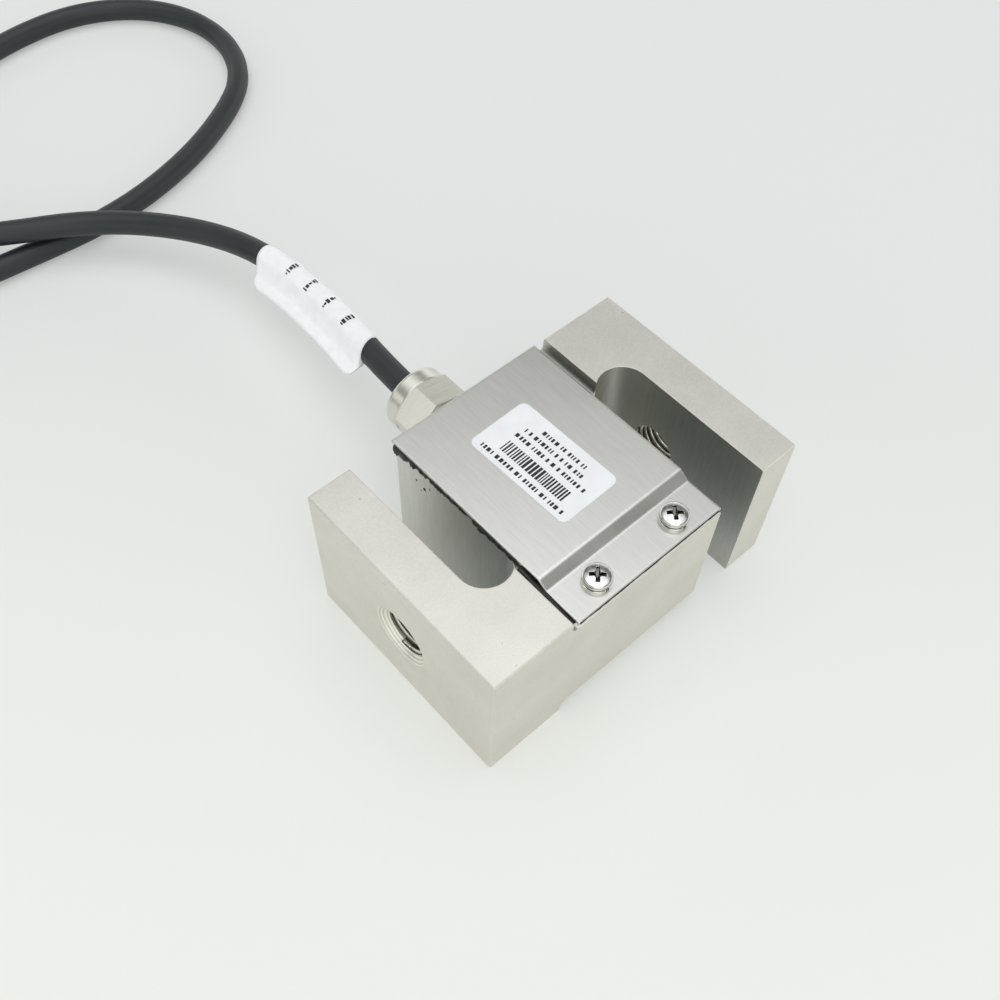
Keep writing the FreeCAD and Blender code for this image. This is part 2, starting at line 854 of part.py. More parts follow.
def make_tube(doc, s, name, points):
    """A free stretch of the cable."""
    edges, radii = route_edges(points)
    tube = swept(edges, round_section(s.cable_diameter.value))
    length = sum(edge.Length for edge in edges)
    section = math.pi * s.cable_diameter.value**2 / 4
    print(f"{name}: {length:.1f} mm, radii {min(radii):.1f} to {max(radii):.0f} mm, "
          f"volume over section times length {tube.Volume / section / length:.4f}")
    return make_solid(doc, name, tube)


def make_coil(doc, s):
    """The outer shape of the wound coil. The outgoing turn lifts off at a step in the top layer, and the
    returning one leaves at a step in the bottom layer, where the free stretches butt against it."""
    cable, tracks = s.cable_diameter.value, s.coil_tracks.value
    radius, width = s.coil_radius.value, s.coil_tracks.value * cable
    top, side = V(*CABLE_OUT[-1]), V(*CABLE_BACK[0])
    centre = V(side.x, top.y, 0)
    track = radius + (tracks - 1) / 2 * cable
    ring = Part.makeCylinder(radius + width / 2, width, centre).cut(
        Part.makeCylinder(radius - width / 2, width, centre)
    )
    reach = radius
    top_step = Part.makeBox(
        cable * 2, reach, cable * 2, V(centre.x + track - cable / 2, centre.y - reach, width - cable)
    )
    low_step = Part.makeBox(
        reach, cable * 2, cable * 2, V(centre.x, centre.y - track - cable * 1.5, -cable)
    )
    return make_solid(doc, "cable_coil", ring.cut(top_step).cut(low_step))


def make_tag(doc, s):
    """A paper tag wrapped round the cable. Its two ends leave the cable on either side and are pressed
    together into a flag."""
    edges, _ = route_edges(CABLE_OUT)
    start = s.body_width.value / 2 + s.tag_start.value + gland_length(s) - CABLE_OUT[0][1]
    edges = stretch(edges, start, start + s.tag_length.value)
    cable, paper = s.cable_diameter.value, s.tag_thickness.value
    wrap = swept(edges, round_section(cable + 2 * paper))
    radius, outer = cable / 2 + paper, cable / 2 + s.tag_flag.value
    root = cable / 2 + s.tag_flag_root.value
    touch = math.acos(radius / root)
    leave = (radius * math.cos(touch), radius * math.sin(touch))
    half = [leave, (root, paper), (outer, paper)]
    corners = half + [(left, -up) for left, up in reversed(half)] + [leave]
    flag = Part.makePolygon([V(left, up, 0) for left, up in corners])
    flag.rotate(V(0, 0, 0), V(0, 0, 1), -s.tag_flag_droop.value)
    tag = wrap.fuse(swept(edges, flag)).cut(swept(edges, round_section(cable)))
    return make_solid(doc, "cable_tag", tag.removeSplitter())


def gland_length(s):
    return value_of(s.nut_setback + s.nut_hex_depth + s.nut_collar_depth)


# Each stripped lead runs from the sheath's end to a bend on the floor and on to its tip. Both places are
# steps from the sheath's end.
LEADS = {
    "red": [(-0.8, -20), (0, -40)],
    "black": [(2.6, -20), (6, -37)],
    "green": [(5.5, -17), (12.5, -30)],
    "white": [(-7, -17), (-11, -31)],
    "screen": [(-4, -20), (-5.5, -36)],
}


def lead_routes(s):
    """Each stripped lead's points, fanned out from the end of the sheath onto the floor."""
    end, before = V(*CABLE_BACK[-1]), V(*CABLE_BACK[-2])
    ahead = (end - before).normalize()
    across = ahead.cross(V(0, 0, 1))
    ring = s.cable_diameter.value / 2 - s.lead_diameter.value
    on_floor = s.lead_diameter.value / 2 - end.z
    routes = {}
    for number, (colour, steps) in enumerate(LEADS.items()):
        angle = math.radians(90 + 360 / len(LEADS) * number)
        start = end + across * (ring * math.cos(angle)) + V(0, 0, ring * math.sin(angle))
        start -= ahead * s.lead_diameter.value / 2
        routes[colour] = [start] + [end + V(x, y, on_floor) for x, y in steps]
    return routes


def make_leads(doc, s, sheath):
    """The four insulated cores and the screen's drain wire, cut flush with the sheath that they leave,
    and the bare tips of all five."""
    pieces, tips = [], []
    for colour, points in lead_routes(s).items():
        edges, _ = route_edges(points)
        total = sum(edge.Length for edge in edges)
        bared = total - s.lead_tip_length.value
        lead = swept(stretch(edges, 0, bared), round_section(s.lead_diameter.value)).cut(sheath)
        tip = stretch(edges, bared, total)
        tips.append(swept(tip, round_section(s.lead_tip_diameter.value)))
        pieces.append(make_solid(doc, f"lead_{colour}", lead))
    pieces.append(make_solid(doc, "lead_tips", Part.makeCompound(tips)))
    return pieces


# ---------------------------------------------------------------- the whole part


def check(doc, pieces):
    """Stop before anything is written if an object failed or a shape is missing or broken."""
    for obj in doc.Objects:
        if "Invalid" in obj.State or "Error" in obj.State:
            raise RuntimeError(f"{obj.Name} failed: {obj.State}")
    for piece in pieces:
        if piece.Shape.isNull() or not piece.Shape.isValid() or not piece.Shape.Solids:
            raise RuntimeError(f"{piece.Label} has no valid solid")


def main():
    doc = FreeCAD.newDocument("LoadCell")
    make_sheet(doc)
    doc.recompute()
    s = Sizes(SIZES)

    pieces = [make_spring_body(doc, s)]
    for face, word in ((1, "top"), (-1, "bottom")):
        pieces.append(make_cover(doc, s, f"{word}_cover", face))
        pieces.append(make_sealant(doc, s, f"{word}_sealant", face))
        for side, hand in ((LEFT, "left"), (RIGHT, "right")):
            pieces.append(make_screw(doc, s, f"{word}_screw_{hand}", face, side))
    pieces += make_gland(doc, s)

    top = [make_gauge(doc, s, 1, side) for side in (LEFT, RIGHT)]
    bottom = [make_gauge(doc, s, -1, side) for side in (LEFT, RIGHT)]
    board = make_board(doc, s)
    colours = [colour for colour in LEADS if colour != "screen"]
    cores = [make_core(doc, s, colour, number) for number, colour in enumerate(colours)]
    pieces += top + bottom + [board] + cores
    pieces.append(make_potting(doc, s, 1, top + [board] + cores))
    pieces.append(make_potting(doc, s, -1, bottom))
    pieces.append(make_label(doc, s))

    pieces.append(make_tube(doc, s, "cable_out", CABLE_OUT))
    pieces.append(make_coil(doc, s))
    cable_back = make_tube(doc, s, "cable_back", CABLE_BACK)
    pieces += [cable_back, make_tag(doc, s)]
    pieces += make_leads(doc, s, cable_back.Shape)

    doc.recompute()
    check(doc, pieces)
    os.makedirs("parts", exist_ok=True)
    for piece in pieces:
        piece.Shape.exportStep(f"parts/{piece.Label}.step")
    print(f"{len(pieces)} sub-parts written")


main()
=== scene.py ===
# %% [markdown]
# # An S type load cell
# The body, covers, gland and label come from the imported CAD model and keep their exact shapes. This
# script gives them their finishes, and makes what CAD leaves plain: the cable on its real line, its
# paper tag, the squeezed-out sealant, the threads, the cover screws and the print. Sizes are written in
# millimetres, and MM turns them into Blender's metres.

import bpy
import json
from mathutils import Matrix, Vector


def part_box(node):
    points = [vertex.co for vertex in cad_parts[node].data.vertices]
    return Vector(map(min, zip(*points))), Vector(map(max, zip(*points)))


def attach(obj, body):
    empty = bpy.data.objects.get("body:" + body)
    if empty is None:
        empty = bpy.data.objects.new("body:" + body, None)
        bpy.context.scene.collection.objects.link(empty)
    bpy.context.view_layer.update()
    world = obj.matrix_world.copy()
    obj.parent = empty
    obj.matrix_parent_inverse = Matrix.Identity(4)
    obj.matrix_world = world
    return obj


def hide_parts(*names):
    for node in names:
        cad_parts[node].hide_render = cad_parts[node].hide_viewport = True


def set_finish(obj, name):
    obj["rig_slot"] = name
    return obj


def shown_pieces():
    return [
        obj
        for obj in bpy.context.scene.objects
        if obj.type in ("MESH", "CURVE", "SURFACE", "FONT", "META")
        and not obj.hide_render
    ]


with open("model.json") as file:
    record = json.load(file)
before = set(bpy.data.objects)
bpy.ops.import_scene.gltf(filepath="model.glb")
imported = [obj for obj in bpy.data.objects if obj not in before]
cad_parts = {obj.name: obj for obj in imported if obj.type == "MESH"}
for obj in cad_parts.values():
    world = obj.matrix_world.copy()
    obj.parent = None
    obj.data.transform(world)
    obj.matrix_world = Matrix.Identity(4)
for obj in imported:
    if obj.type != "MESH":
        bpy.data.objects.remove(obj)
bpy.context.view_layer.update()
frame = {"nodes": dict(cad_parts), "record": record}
nodes = frame["nodes"]

# %% What the rest of the script uses
import json
import math
import random

import bmesh
import bpy
from mathutils import Matrix, Vector, noise

MM = 0.001
UP = Vector((0, 0, 1))


def show(data, name):
    """Put a new mesh, curve, camera or lamp in the scene as an object."""
    piece = bpy.data.objects.new(name, data)
    bpy.context.scene.collection.objects.link(piece)
    return piece


def box_of(node):
    """The lowest and highest corners of a CAD node, in millimetres."""
    return [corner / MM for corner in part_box(node)]


def solid(name, points, faces, smooth=True):
    """A piece made of points in metres and faces, with every face turned outwards."""
    mesh = bpy.data.meshes.new(name)
    mesh.from_pydata(points, [], faces)
    work = bmesh.new()
    work.from_mesh(mesh)
    bmesh.ops.recalc_face_normals(work, faces=work.faces)
    work.to_mesh(mesh)
    work.free()
    for face in mesh.polygons:
        face.use_smooth = smooth
    return show(mesh, name)


def dress(piece, material):
    """Give a piece one material all over."""
    piece.data.materials.clear()
    piece.data.materials.append(material)


print(f"the body is {box_of('spring_body')[1].z:.2f} mm high")

# %% [markdown]
# Most pieces here are one cross-section carried along a line: a lead, a skirt of sealant, a thread. They
# could be swept with modifiers, but then every section would be the same. So each is made of rows of
# points that may all differ, joined with four-sided faces and closed at both ends, as a real solid is.

# %% Skins
def skin(rows, size):
    """Faces that join this many rows of size points each, and one face over either end."""
    faces = []
    for row in range(rows - 1):
        for i in range(size):
            a, b = row * size + i, row * size + (i + 1) % size
            faces.append((a, b, b + size, a + size))
    last = (rows - 1) * size
    return faces + [tuple(range(size)), tuple(range(last, last + size))]


def joined(shapes):
    """Several shapes, each a list of points and a list of faces, as one."""
    points, faces = [], []
    for more, sides in shapes:
        faces += [tuple(i + len(points) for i in face) for face in sides]
        points += more
    return points, faces


print(f"a brick needs {len(skin(2, 4))} faces")

# %% [markdown]
# The camera looks down on the cell from its front left corner. A 40 mm lens this close gives the strong
# perspective in which the near end bar is clearly larger than the far one.

# %% Camera
CAMERA_PLACE = Vector((-91.289, -78.749, 199.155)) * MM
CAMERA_AHEAD = Vector((0.37752, 0.37255, -0.84775)).normalized()
CAMERA_RIGHT = Vector((0.73997, -0.67176, 0.03431))

right = (CAMERA_RIGHT - CAMERA_AHEAD * CAMERA_RIGHT.dot(CAMERA_AHEAD)).normalized()
up = right.cross(CAMERA_AHEAD)
lens = bpy.data.cameras.new("camera")
lens.lens = 40.05
lens.shift_x = -0.0083
lens.shift_y = 0.0487
lens.clip_start = 0.01
lens.clip_end = 20
camera = show(lens, "camera")
turn = Matrix((right, up, -CAMERA_AHEAD)).transposed()
camera.matrix_world = Matrix.Translation(CAMERA_PLACE) @ turn.to_4x4()
bpy.context.scene.camera = camera
print(f"camera {CAMERA_PLACE.length:.3f} m from the middle of the cell's foot, lens {lens.lens} mm")

# %% [markdown]
# The cable is about two metres of 5.7 mm screened lead. It could be a chain of straight tubes, but a
# real cable has no corners, so it is one smooth NURBS line through listed points, with a round
# bevel. It droops from the gland, passes over its own returning end, is wound, and comes back in a loop
# on the floor.

# %% The cable's points, in millimetres
OUT = [
    (0, 27, 17.5), (0, 50, 17.5), (3.4, 73.3, 15.8), (3.6, 101.3, 13.1),
    (-3.9, 121.8, 10.7), (-18.8, 140, 9), (-40.5, 151.5, 8.8), (-55.6, 160.5, 9.8),
    (-64.3, 174, 12.6), (-64.5, 190, 14.25),
]
BACK = [
    (-101.2, 153.3, 2.85), (-86, 153.3, 2.85), (-66, 149.5, 2.85), (-40, 147, 2.85),
    (-12, 145, 2.85), (14, 151.5, 2.85), (35, 163, 2.85), (45, 173, 2.85),
    (50, 186, 2.85), (49.5, 200, 2.85), (44, 212, 2.85), (34.5, 221, 2.85),
    (21, 226.5, 2.85), (4, 226.5, 2.85), (-14, 222.5, 2.85), (-29, 214.5, 2.85),
    (-40, 203, 2.85), (-46, 190, 2.85),
]
CABLE = 5.7  # diameter
print(f"{len(OUT)} points on the way out, {len(BACK)} on the way back")

# %% [markdown]
# The length that isn't on show lies wound in nine turns, three wide and three high, as a cable is put
# away. Each turn keeps to its own track and moves to the next one in a short ramp. The ramps of later
# turns come earlier, so that a turn never climbs into a track that is still full.

# %% The coil's points
COIL_CENTRE = (-101.2, 190)
COIL_RADIUS = 31
TRACKS = [(1, 2), (0, 2), (-1, 2), (-1, 1), (-1, 0), (0, 0), (0, 1), (1, 1), (1, 0)]  # outwards, upwards
POINTS_A_TURN = 24
LAST_TURN = 18  # points in the last turn, which leaves the coil after three quarters
RAMP = 3  # points
RAMP_EARLIER = 2.5  # points, each turn


def coil_points():
    """Places along the wound turns, in millimetres."""
    found = []
    for turn_number, track in enumerate(TRACKS):
        last = turn_number == len(TRACKS) - 1
        following = track if last else TRACKS[turn_number + 1]
        ramp_start = POINTS_A_TURN - RAMP - RAMP_EARLIER * turn_number
        for step in range(LAST_TURN if last else POINTS_A_TURN):
            share = min(max((step - ramp_start) / RAMP, 0), 1)
            across = track[0] + (following[0] - track[0]) * share
            layer = track[1] + (following[1] - track[1]) * share
            angle = 2 * math.pi * step / POINTS_A_TURN
            radius = COIL_RADIUS + CABLE * across
            found.append((
                COIL_CENTRE[0] + radius * math.cos(angle),
                COIL_CENTRE[1] + radius * math.sin(angle),
                CABLE * (layer + 0.5),
            ))
    return found[1:]


route = OUT + coil_points() + BACK
print(f"{len(TRACKS)} turns, {len(route)} points in all")


# %% The cable
def smooth_line(points, name):
    """A NURBS curve that bends gently between its points, which are in millimetres."""
    line = bpy.data.curves.new(name, "CURVE")
    line.dimensions = "3D"
    spline = line.splines.new("NURBS")
    spline.points.add(len(points) - 1)
    for place, point in zip(spline.points, points):
        place.co = (*(Vector(point) * MM), 1)
    spline.order_u = 3
    spline.use_endpoint_u = True
    return line


line = smooth_line(route, "cable")
line.resolution_u = 6
for place in line.splines[0].points:
    place.radius = CABLE / 2 * MM  # Blender adds this to the box that it states for the curve
line.bevel_depth = 1  # times the radius above
line.bevel_resolution = 6
line.use_fill_caps = True
cable = show(line, "cable")
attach(cable, "root")
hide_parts("cable_out", "cable_coil", "cable_back")
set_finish(cable, "cable_sheath")
print(f"cable of {CABLE} mm")

# %% [markdown]
# What is threaded on the cable has to follow its line. Blender can turn a curve into a row of points, so
# a spare curve on the same points is made, read, and taken away again.

# %% Following a line
def followed(points, name):
    """Even points along the smooth line of a curve, for what is threaded on it."""
    bare = smooth_line(points, name)
    bare.resolution_u = 24
    carrier = bpy.data.objects.new(name, bare)
    mesh = bpy.data.meshes.new_from_object(carrier)
    found = [v.co.copy() for v in mesh.vertices]
    bpy.data.objects.remove(carrier)
    bpy.data.curves.remove(bare)
    bpy.data.meshes.remove(mesh)
    return found


def at(path, distance):
    """The place and direction at a distance along a path, in metres."""
    for a, b in zip(path, path[1:]):
        step = (b - a).length
        if distance <= step:
            return a.lerp(b, distance / step), (b - a).normalized()
        distance -= step
    return path[-1], (path[-1] - path[-2]).normalized()


def beside(ahead):
    """Two directions across a line: one level, the other square to both."""
    across = ahead.cross(UP).normalized()
    return across, across.cross(ahead)


tag_line = followed(OUT, "tag_line")
print(f"{len(tag_line)} places on the cable's way out")

# %% [markdown]
# A paper tag is wrapped once round the cable near the gland, and its two ends are stuck together into a
# flag that hangs to one side. It follows the cable's own line, so that it never floats off it. Its edge
# wanders a little, its corners are round, and its ends are cut askew, as on a tag put on by hand.

# %% The tag's cross-section
TAG_START = 31.7  # from the route's first point, which is inside the gland
TAG_LENGTH = 41
TAG_PAPER = 0.18  # its thickness
TAG_CORNER = 0.08  # the share of the length that a round corner takes
TAG_FLAG = 4.8
FLAG_ROOT = 1.6  # where the two ends meet, from the cable's side
FLAG_LEAST = FLAG_ROOT + 0.2  # what the round corners leave at the very ends
FLAG_DROOP = math.radians(28)
WRAP_STEPS = 20
FLAG_STEPS = 4


def flag_reach(share):
    """How far the flag stands out at a share of the tag's length. Both of its corners are round."""
    end = min(share, 1 - share) / TAG_CORNER
    rounded = math.sqrt(1 - (1 - end) ** 2) if end < 1 else 1
    return FLAG_LEAST + (TAG_FLAG - FLAG_LEAST) * rounded


def tag_section(share):
    """The outline of the wrap and flag, in millimetres across and above the cable's centre."""
    radius = CABLE / 2 + TAG_PAPER + 0.08 * noise.noise(Vector((share * 9, 0, 2)))
    root = CABLE / 2 + FLAG_ROOT
    reach = CABLE / 2 + flag_reach(share)
    wave = 0.35 * math.sin(5 * share + 0.6) + 0.15 * noise.noise(Vector((share * 14, 3, 0)))
    flag = []
    for step in range(FLAG_STEPS + 1):
        part = step / FLAG_STEPS
        flag.append((-(root + (reach - root) * part), wave * part ** 2))
    outline = [(x, y - TAG_PAPER) for x, y in flag]
    outline += [(x, y + TAG_PAPER) for x, y in reversed(flag)]
    touch = math.acos(radius / root)
    for step in range(WRAP_STEPS + 1):
        angle = math.pi - touch - (2 * math.pi - 2 * touch) * step / WRAP_STEPS
        outline.append((radius * math.cos(angle), radius * math.sin(angle)))
    cos, sin = math.cos(FLAG_DROOP), math.sin(FLAG_DROOP)
    return [(x * cos - y * sin, x * sin + y * cos) for x, y in outline]


print(f"{len(tag_section(0.5))} points round the tag")


# %% The paper tag
TAG_ROWS = 44
TAG_ASKEW = 0.35  # how much the cut at its start slants


def make_tag(path):
    points = []
    for row in range(TAG_ROWS + 1):
        share = row / TAG_ROWS
        section = tag_section(share)
        for x, y in section:
            slant = TAG_ASKEW * x * (1 - share) * MM
            place, ahead = at(path, (TAG_START + TAG_LENGTH * share) * MM + slant)
            across, above = beside(ahead)
            points.append(place + across * x * MM + above * y * MM)
    return solid("cable_tag_wrap", points, skin(TAG_ROWS + 1, len(section)))


tag = make_tag(tag_line)
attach(tag, "root")
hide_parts("cable_tag")
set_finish(tag, "tag_paper")
print(f"tag of {len(tag.data.polygons)} faces")

# %% [markdown]
# Four short rows of plain marks cross the tag, where it would be printed. Painted into the paper's
# material they would blur at this size, so each mark is a tiny curved patch a little above the paper,
# placed by the same two directions as the wrap itself.

# %% Marks on the tag
MARK_ROWS = (0.2, 0.38, 0.56, 0.74)  # shares of the tag's length
MARKS_FROM, MARKS_TO = 38, 104  # degrees round the cable
MARK_WIDTHS = (6, 9, 13)  # degrees
MARK_LENGTHS = (0.5, 0.9, 1.3)
MARK_GAPS = (4, 7)  # degrees
MARK_HEIGHT = CABLE / 2 + TAG_PAPER + 0.1  # over the wrap where it wanders furthest out
MARK_INK = 0.03


def make_mark(path, along_tag, turned, wide, long):
    """A curved brick: four corners at one edge of the mark, and four at the other."""
    points = []
    corners = [(-1, -MARK_INK), (-1, 0), (1, 0), (1, -MARK_INK)]
    for angle in (math.radians(turned), math.radians(turned + wide)):
        for end, down in corners:
            place, ahead = at(path, (TAG_START + along_tag + end * long / 2) * MM)
            across, above = beside(ahead)
            outward = across * math.cos(angle + FLAG_DROOP) + above * math.sin(angle + FLAG_DROOP)
            points.append(place + outward * (MARK_HEIGHT + down) * MM)
    return points, skin(2, len(corners))


def make_tag_marks(path):
    marks = []
    draw = random.Random(11)
    for row in MARK_ROWS:
        angle = MARKS_FROM
        while angle < MARKS_TO:
            wide = draw.choice(MARK_WIDTHS)
            long = draw.choice(MARK_LENGTHS)
            marks.append(make_mark(path, TAG_LENGTH * row, angle, wide, long))
            angle += wide + draw.choice(MARK_GAPS)
    print(f"{len(marks)} marks on the tag")
    return solid("cable_tag_marks", *joined(marks), smooth=False)


tag_marks = make_tag_marks(tag_line)
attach(tag_marks, "root")
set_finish(tag_marks, "core_black")

# %% [markdown]
# The far end is stripped: four coloured cores and the screen's drain wire fan out on the floor, and each
# ends in a few millimetres of tinned strands. The strands could be one striped rod, but real ones are
# twisted and catch the light one by one, so seven fine tubes are wound here.

# %% Tubes and strands
STRANDS = 7  # one straight, the others twisted round it
STRAND_SIDES = 6
ROWS_A_TWIST = 9
TIP = 0.6  # across all the strands
TUBE_END = 0.8  # the end row's share of the radius, so that the end looks rounded


def crosswise(path):
    """Each point of a path, with two directions across it."""
    for i, place in enumerate(path):
        a, b = path[max(i - 1, 0)], path[min(i + 1, len(path) - 1)]
        yield place, *beside((b - a).normalized())


def tube(path, radius, sides):
    """The points and faces of a closed round tube."""
    points = []
    for number, (place, across, above) in enumerate(crosswise(path)):
        r = radius * (TUBE_END if number in (0, len(path) - 1) else 1) * MM
        for side in range(sides):
            angle = 2 * math.pi * side / sides
            points.append(place + across * r * math.cos(angle) + above * r * math.sin(angle))
    return points, skin(len(path), sides)


def strands(path):
    """The points and faces of the fine strands along a path."""
    found = []
    fine = TIP / 6
    twisted = STRANDS - 1
    for strand in range(STRANDS):
        wound = []
        for row, (place, across, above) in enumerate(crosswise(path)):
            angle = 2 * math.pi * (strand / twisted + row / ROWS_A_TWIST)
            out = 0 if strand == twisted else 2 * fine * MM
            wound.append(place + across * out * math.cos(angle) + above * out * math.sin(angle))
        found.append(tube(wound, fine, STRAND_SIDES))
    return joined(found)


print(f"strands of {TIP / 3:.1f} mm")

# %% The stripped leads
LEAD = 1.2
LEAD_ROWS, LEAD_SIDES = 24, 12
BARED, BARED_ROWS = 6, 12
TUCKED = 0.4  # how far the strands start inside the insulation
ABOVE_FLOOR = 0.02
LEAD_STEPS = {  # places on the floor, from the sheath's end
    "red": [(-0.3, -9), (-0.8, -20), (0, -40)],
    "black": [(1.2, -9), (2.6, -20), (6, -37)],
    "green": [(3, -9), (5.5, -17), (12.5, -30)],
    "white": [(-3.4, -8), (-7, -17), (-11, -31)],
    "screen": [(-1.8, -9), (-4, -20), (-5.5, -36)],
}


def lead_route(number, steps):
    """A lead's own points, from its place in the ring of five inside the sheath."""
    end, before = Vector(BACK[-1]), Vector(BACK[-2])
    ahead = (end - before).normalized()
    ring = CABLE / 2 - LEAD
    angle = math.radians(90 + 360 / len(LEAD_STEPS) * number)
    start = end + ahead.cross(UP) * ring * math.cos(angle) + UP * ring * math.sin(angle)
    low = LEAD / 2 + ABOVE_FLOOR
    heights = [(start.z + low) / 2] + [low] * (len(steps) - 1)
    return [start - ahead * 0.5] + [Vector((end.x + x, end.y + y, z)) for (x, y), z in zip(steps, heights)]


lead_pieces, tips = [], []
for number, (colour, steps) in enumerate(LEAD_STEPS.items()):
    path = followed(lead_route(number, steps), f"lead_{colour}_line")
    insulated = sum((b - a).length for a, b in zip(path, path[1:])) - BARED * MM
    covered = [at(path, insulated * i / LEAD_ROWS)[0] for i in range(LEAD_ROWS + 1)]
    piece = solid(f"stripped_lead_{colour}", *tube(covered, LEAD / 2, LEAD_SIDES))
    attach(piece, "root")
    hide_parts(f"lead_{colour}")
    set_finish(piece, "cable_sheath" if colour == "screen" else f"core_{colour}")
    lead_pieces.append(piece)
    start = insulated - TUCKED * MM
    tips.append(strands([at(path, start + BARED * MM * i / BARED_ROWS)[0] for i in range(BARED_ROWS + 1)]))
wires = solid("tinned_strands", *joined(tips))
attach(wires, "root")
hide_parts("lead_tips")
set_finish(wires, "tinned_copper")
print(f"{len(lead_pieces)} leads, strands of {len(wires.data.polygons)} faces")

# %% [markdown]
# The covers are bedded in black sealant. Under pressure it is squeezed out along their edges and hangs on
# the block's side in an uneven skirt: thick at one back corner, thin in the middle. Beside the flange it
# fills the groove. A strip whose cross-section changes with noise does this better than a bevelled edge,
# because no two millimetres of it are alike.

# %% A skirt of sealant
ROWS_PER_MM = 5
BEAD_OUTLINE = [  # outwards in bulges, downwards in drops; the first and last points are inside the block
    (-0.5, 0), (0.35, 0), (0.8, 0.12), (1, 0.4), (0.9, 0.7), (0.45, 0.95), (-0.4, 1), (-0.5, 0.5),
]
BULGE = 0.22  # how far a skirt of no depth stands out, and how much more for each millimetre of depth
THINNEST = 0.15
beads = []


def ragged(row, seed):
    """A multiplier about 1 that changes over about 4 mm, 1.2 mm and 0.4 mm of length."""
    place = row / ROWS_PER_MM
    value = 1
    for size, share in ((4, 0.5), (1.2, 0.45), (0.4, 0.25)):
        value += share * noise.noise(Vector((place / size, seed, size)))
    return max(value, THINNEST)


def add_bead(name, start, end, outward, face, drop, seed):
    """A skirt that hangs from start to end under a cover's edge, in millimetres. drop(share) is how far
    it hangs down."""
    start, end, outward = Vector(start), Vector(end), Vector(outward)
    rows = int((end - start).length * ROWS_PER_MM)
    points = []
    for row in range(rows + 1):
        share = row / rows
        down = drop(share) * ragged(row, seed)
        bulge = BULGE * (1 + drop(share)) * ragged(row, seed + 3)
        centre = start.lerp(end, share)
        for i, (out, depth) in enumerate(BEAD_OUTLINE):
            grain = 1 + 0.25 * noise.noise(Vector((row / 2.2, i / 1.5, seed + 9)))
            point = centre + outward * (out * bulge * grain if out > 0 else out)
            point.z -= depth * down * face * (grain if out > 0 else 1)
            points.append(point * MM)
    beads.append(solid(f"sealant_{name}", points, skin(rows + 1, len(BEAD_OUTLINE))))


print(f"a section every {1 / ROWS_PER_MM} mm")

# %% Where the sealant was squeezed out
low, high = box_of("top_sealant")
bottom_low, bottom_high = box_of("bottom_sealant")
cover_front = box_of("top_cover")[0].y
joggle_top = low.y + 1  # the bed starts a little behind the joggle
GROOVE_MIDDLE = 0.9  # the groove between the flange and the end bar is open at the left only
SLOT_END = 10.5  # the right slot is closed behind this, and its bed has no free side there
HEAVY, LIGHT = 1.25, 0.8
SIDES = [("top", 1, high.z, low.z), ("bottom", -1, bottom_low.z, bottom_high.z)]
for word, face, under, block_top in SIDES:
    for side, hand in ((-1, "left"), (1, "right")):
        heavy = HEAVY if (word, hand) == ("top", "left") else LIGHT

        def side_drop(share, heavy=heavy):
            """Deepest in the last few millimetres before the back corner."""
            return heavy * (1.05 + 1.3 * share ** 7 + 0.25 * (1 - share) ** 2)

        x, back = (low.x, high.y + 0.1) if side < 0 else (high.x, SLOT_END)
        add_bead(f"bead_{word}_{hand}", (x, low.y - 0.6, under), (x, back, under), (side, 0, 0), face,
                 side_drop, seed=3 * side + 11 * face)

    groove = low.x - GROOVE_MIDDLE
    add_bead(f"groove_{word}", (groove, cover_front + 0.7, block_top + 0.1 * face),
             (groove, joggle_top + 2, block_top + 1.5 * face), (-1, 0, 0), face,
             lambda share: 0.9 + 1.2 * share, seed=2 * face)
    # a thin dark sealant line along each cover's front edge; it is partly painted shade, for the shadow in
    # the gap under the flange
    front = block_top + 0.2 * face
    add_bead(f"front_{word}", (low.x, cover_front, front), (high.x, cover_front, front), (0, -0.5, 0), face,
             lambda share: 0.25, seed=4 * face)
    add_bead(f"bead_{word}_back", (low.x, high.y, under), (high.x, high.y, under), (0, 1, 0), face,
             lambda share: 0.95 + 0.8 * (1 - share) ** 12, seed=7 * face)
print(f"{len(beads)} skirts")

# %% [markdown]
# A few dabs of sealant are stuck to the block's left face. Flat patches would look like paint, so each is
# a low cone on an uneven oval, thinner towards its rim.

# %% Smears, and what every sealant piece says
SMEARS = [(19.3, 27.6, 0.24), (17.0, 27.0, 0.36), (15.4, 28.6, 0.2), (18.0, 25.6, 0.15)]  # Y, Z, radius
SMEAR_SIDES = 12
SMEAR_TALLER = 1.3
SMEAR_SUNK = 0.01
SMEAR_PEAK = 0.06


def make_smear(x, y, z, r):
    """The points and faces of one dab on a left face at x."""
    points = []
    for i in range(SMEAR_SIDES):
        angle = 2 * math.pi * i / SMEAR_SIDES
        cos, sin = math.cos(angle), math.sin(angle)
        reach = r * (1 + 0.4 * noise.noise(Vector((2 * cos, 2 * sin, y))))
        points.append(Vector((x, y + reach * cos, z + SMEAR_TALLER * reach * sin)) * MM)
    points.append(Vector((x - SMEAR_PEAK, y, z)) * MM)
    faces = [(i, (i + 1) % SMEAR_SIDES, SMEAR_SIDES) for i in range(SMEAR_SIDES)]
    return points, faces + [tuple(range(SMEAR_SIDES))]


beads.append(solid("sealant_smears", *joined(make_smear(low.x - SMEAR_SUNK, *spot) for spot in SMEARS)))
for bead in beads:
    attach(bead, "root")
    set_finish(bead, "sealant")
print(f"{len(beads)} sealant pieces")
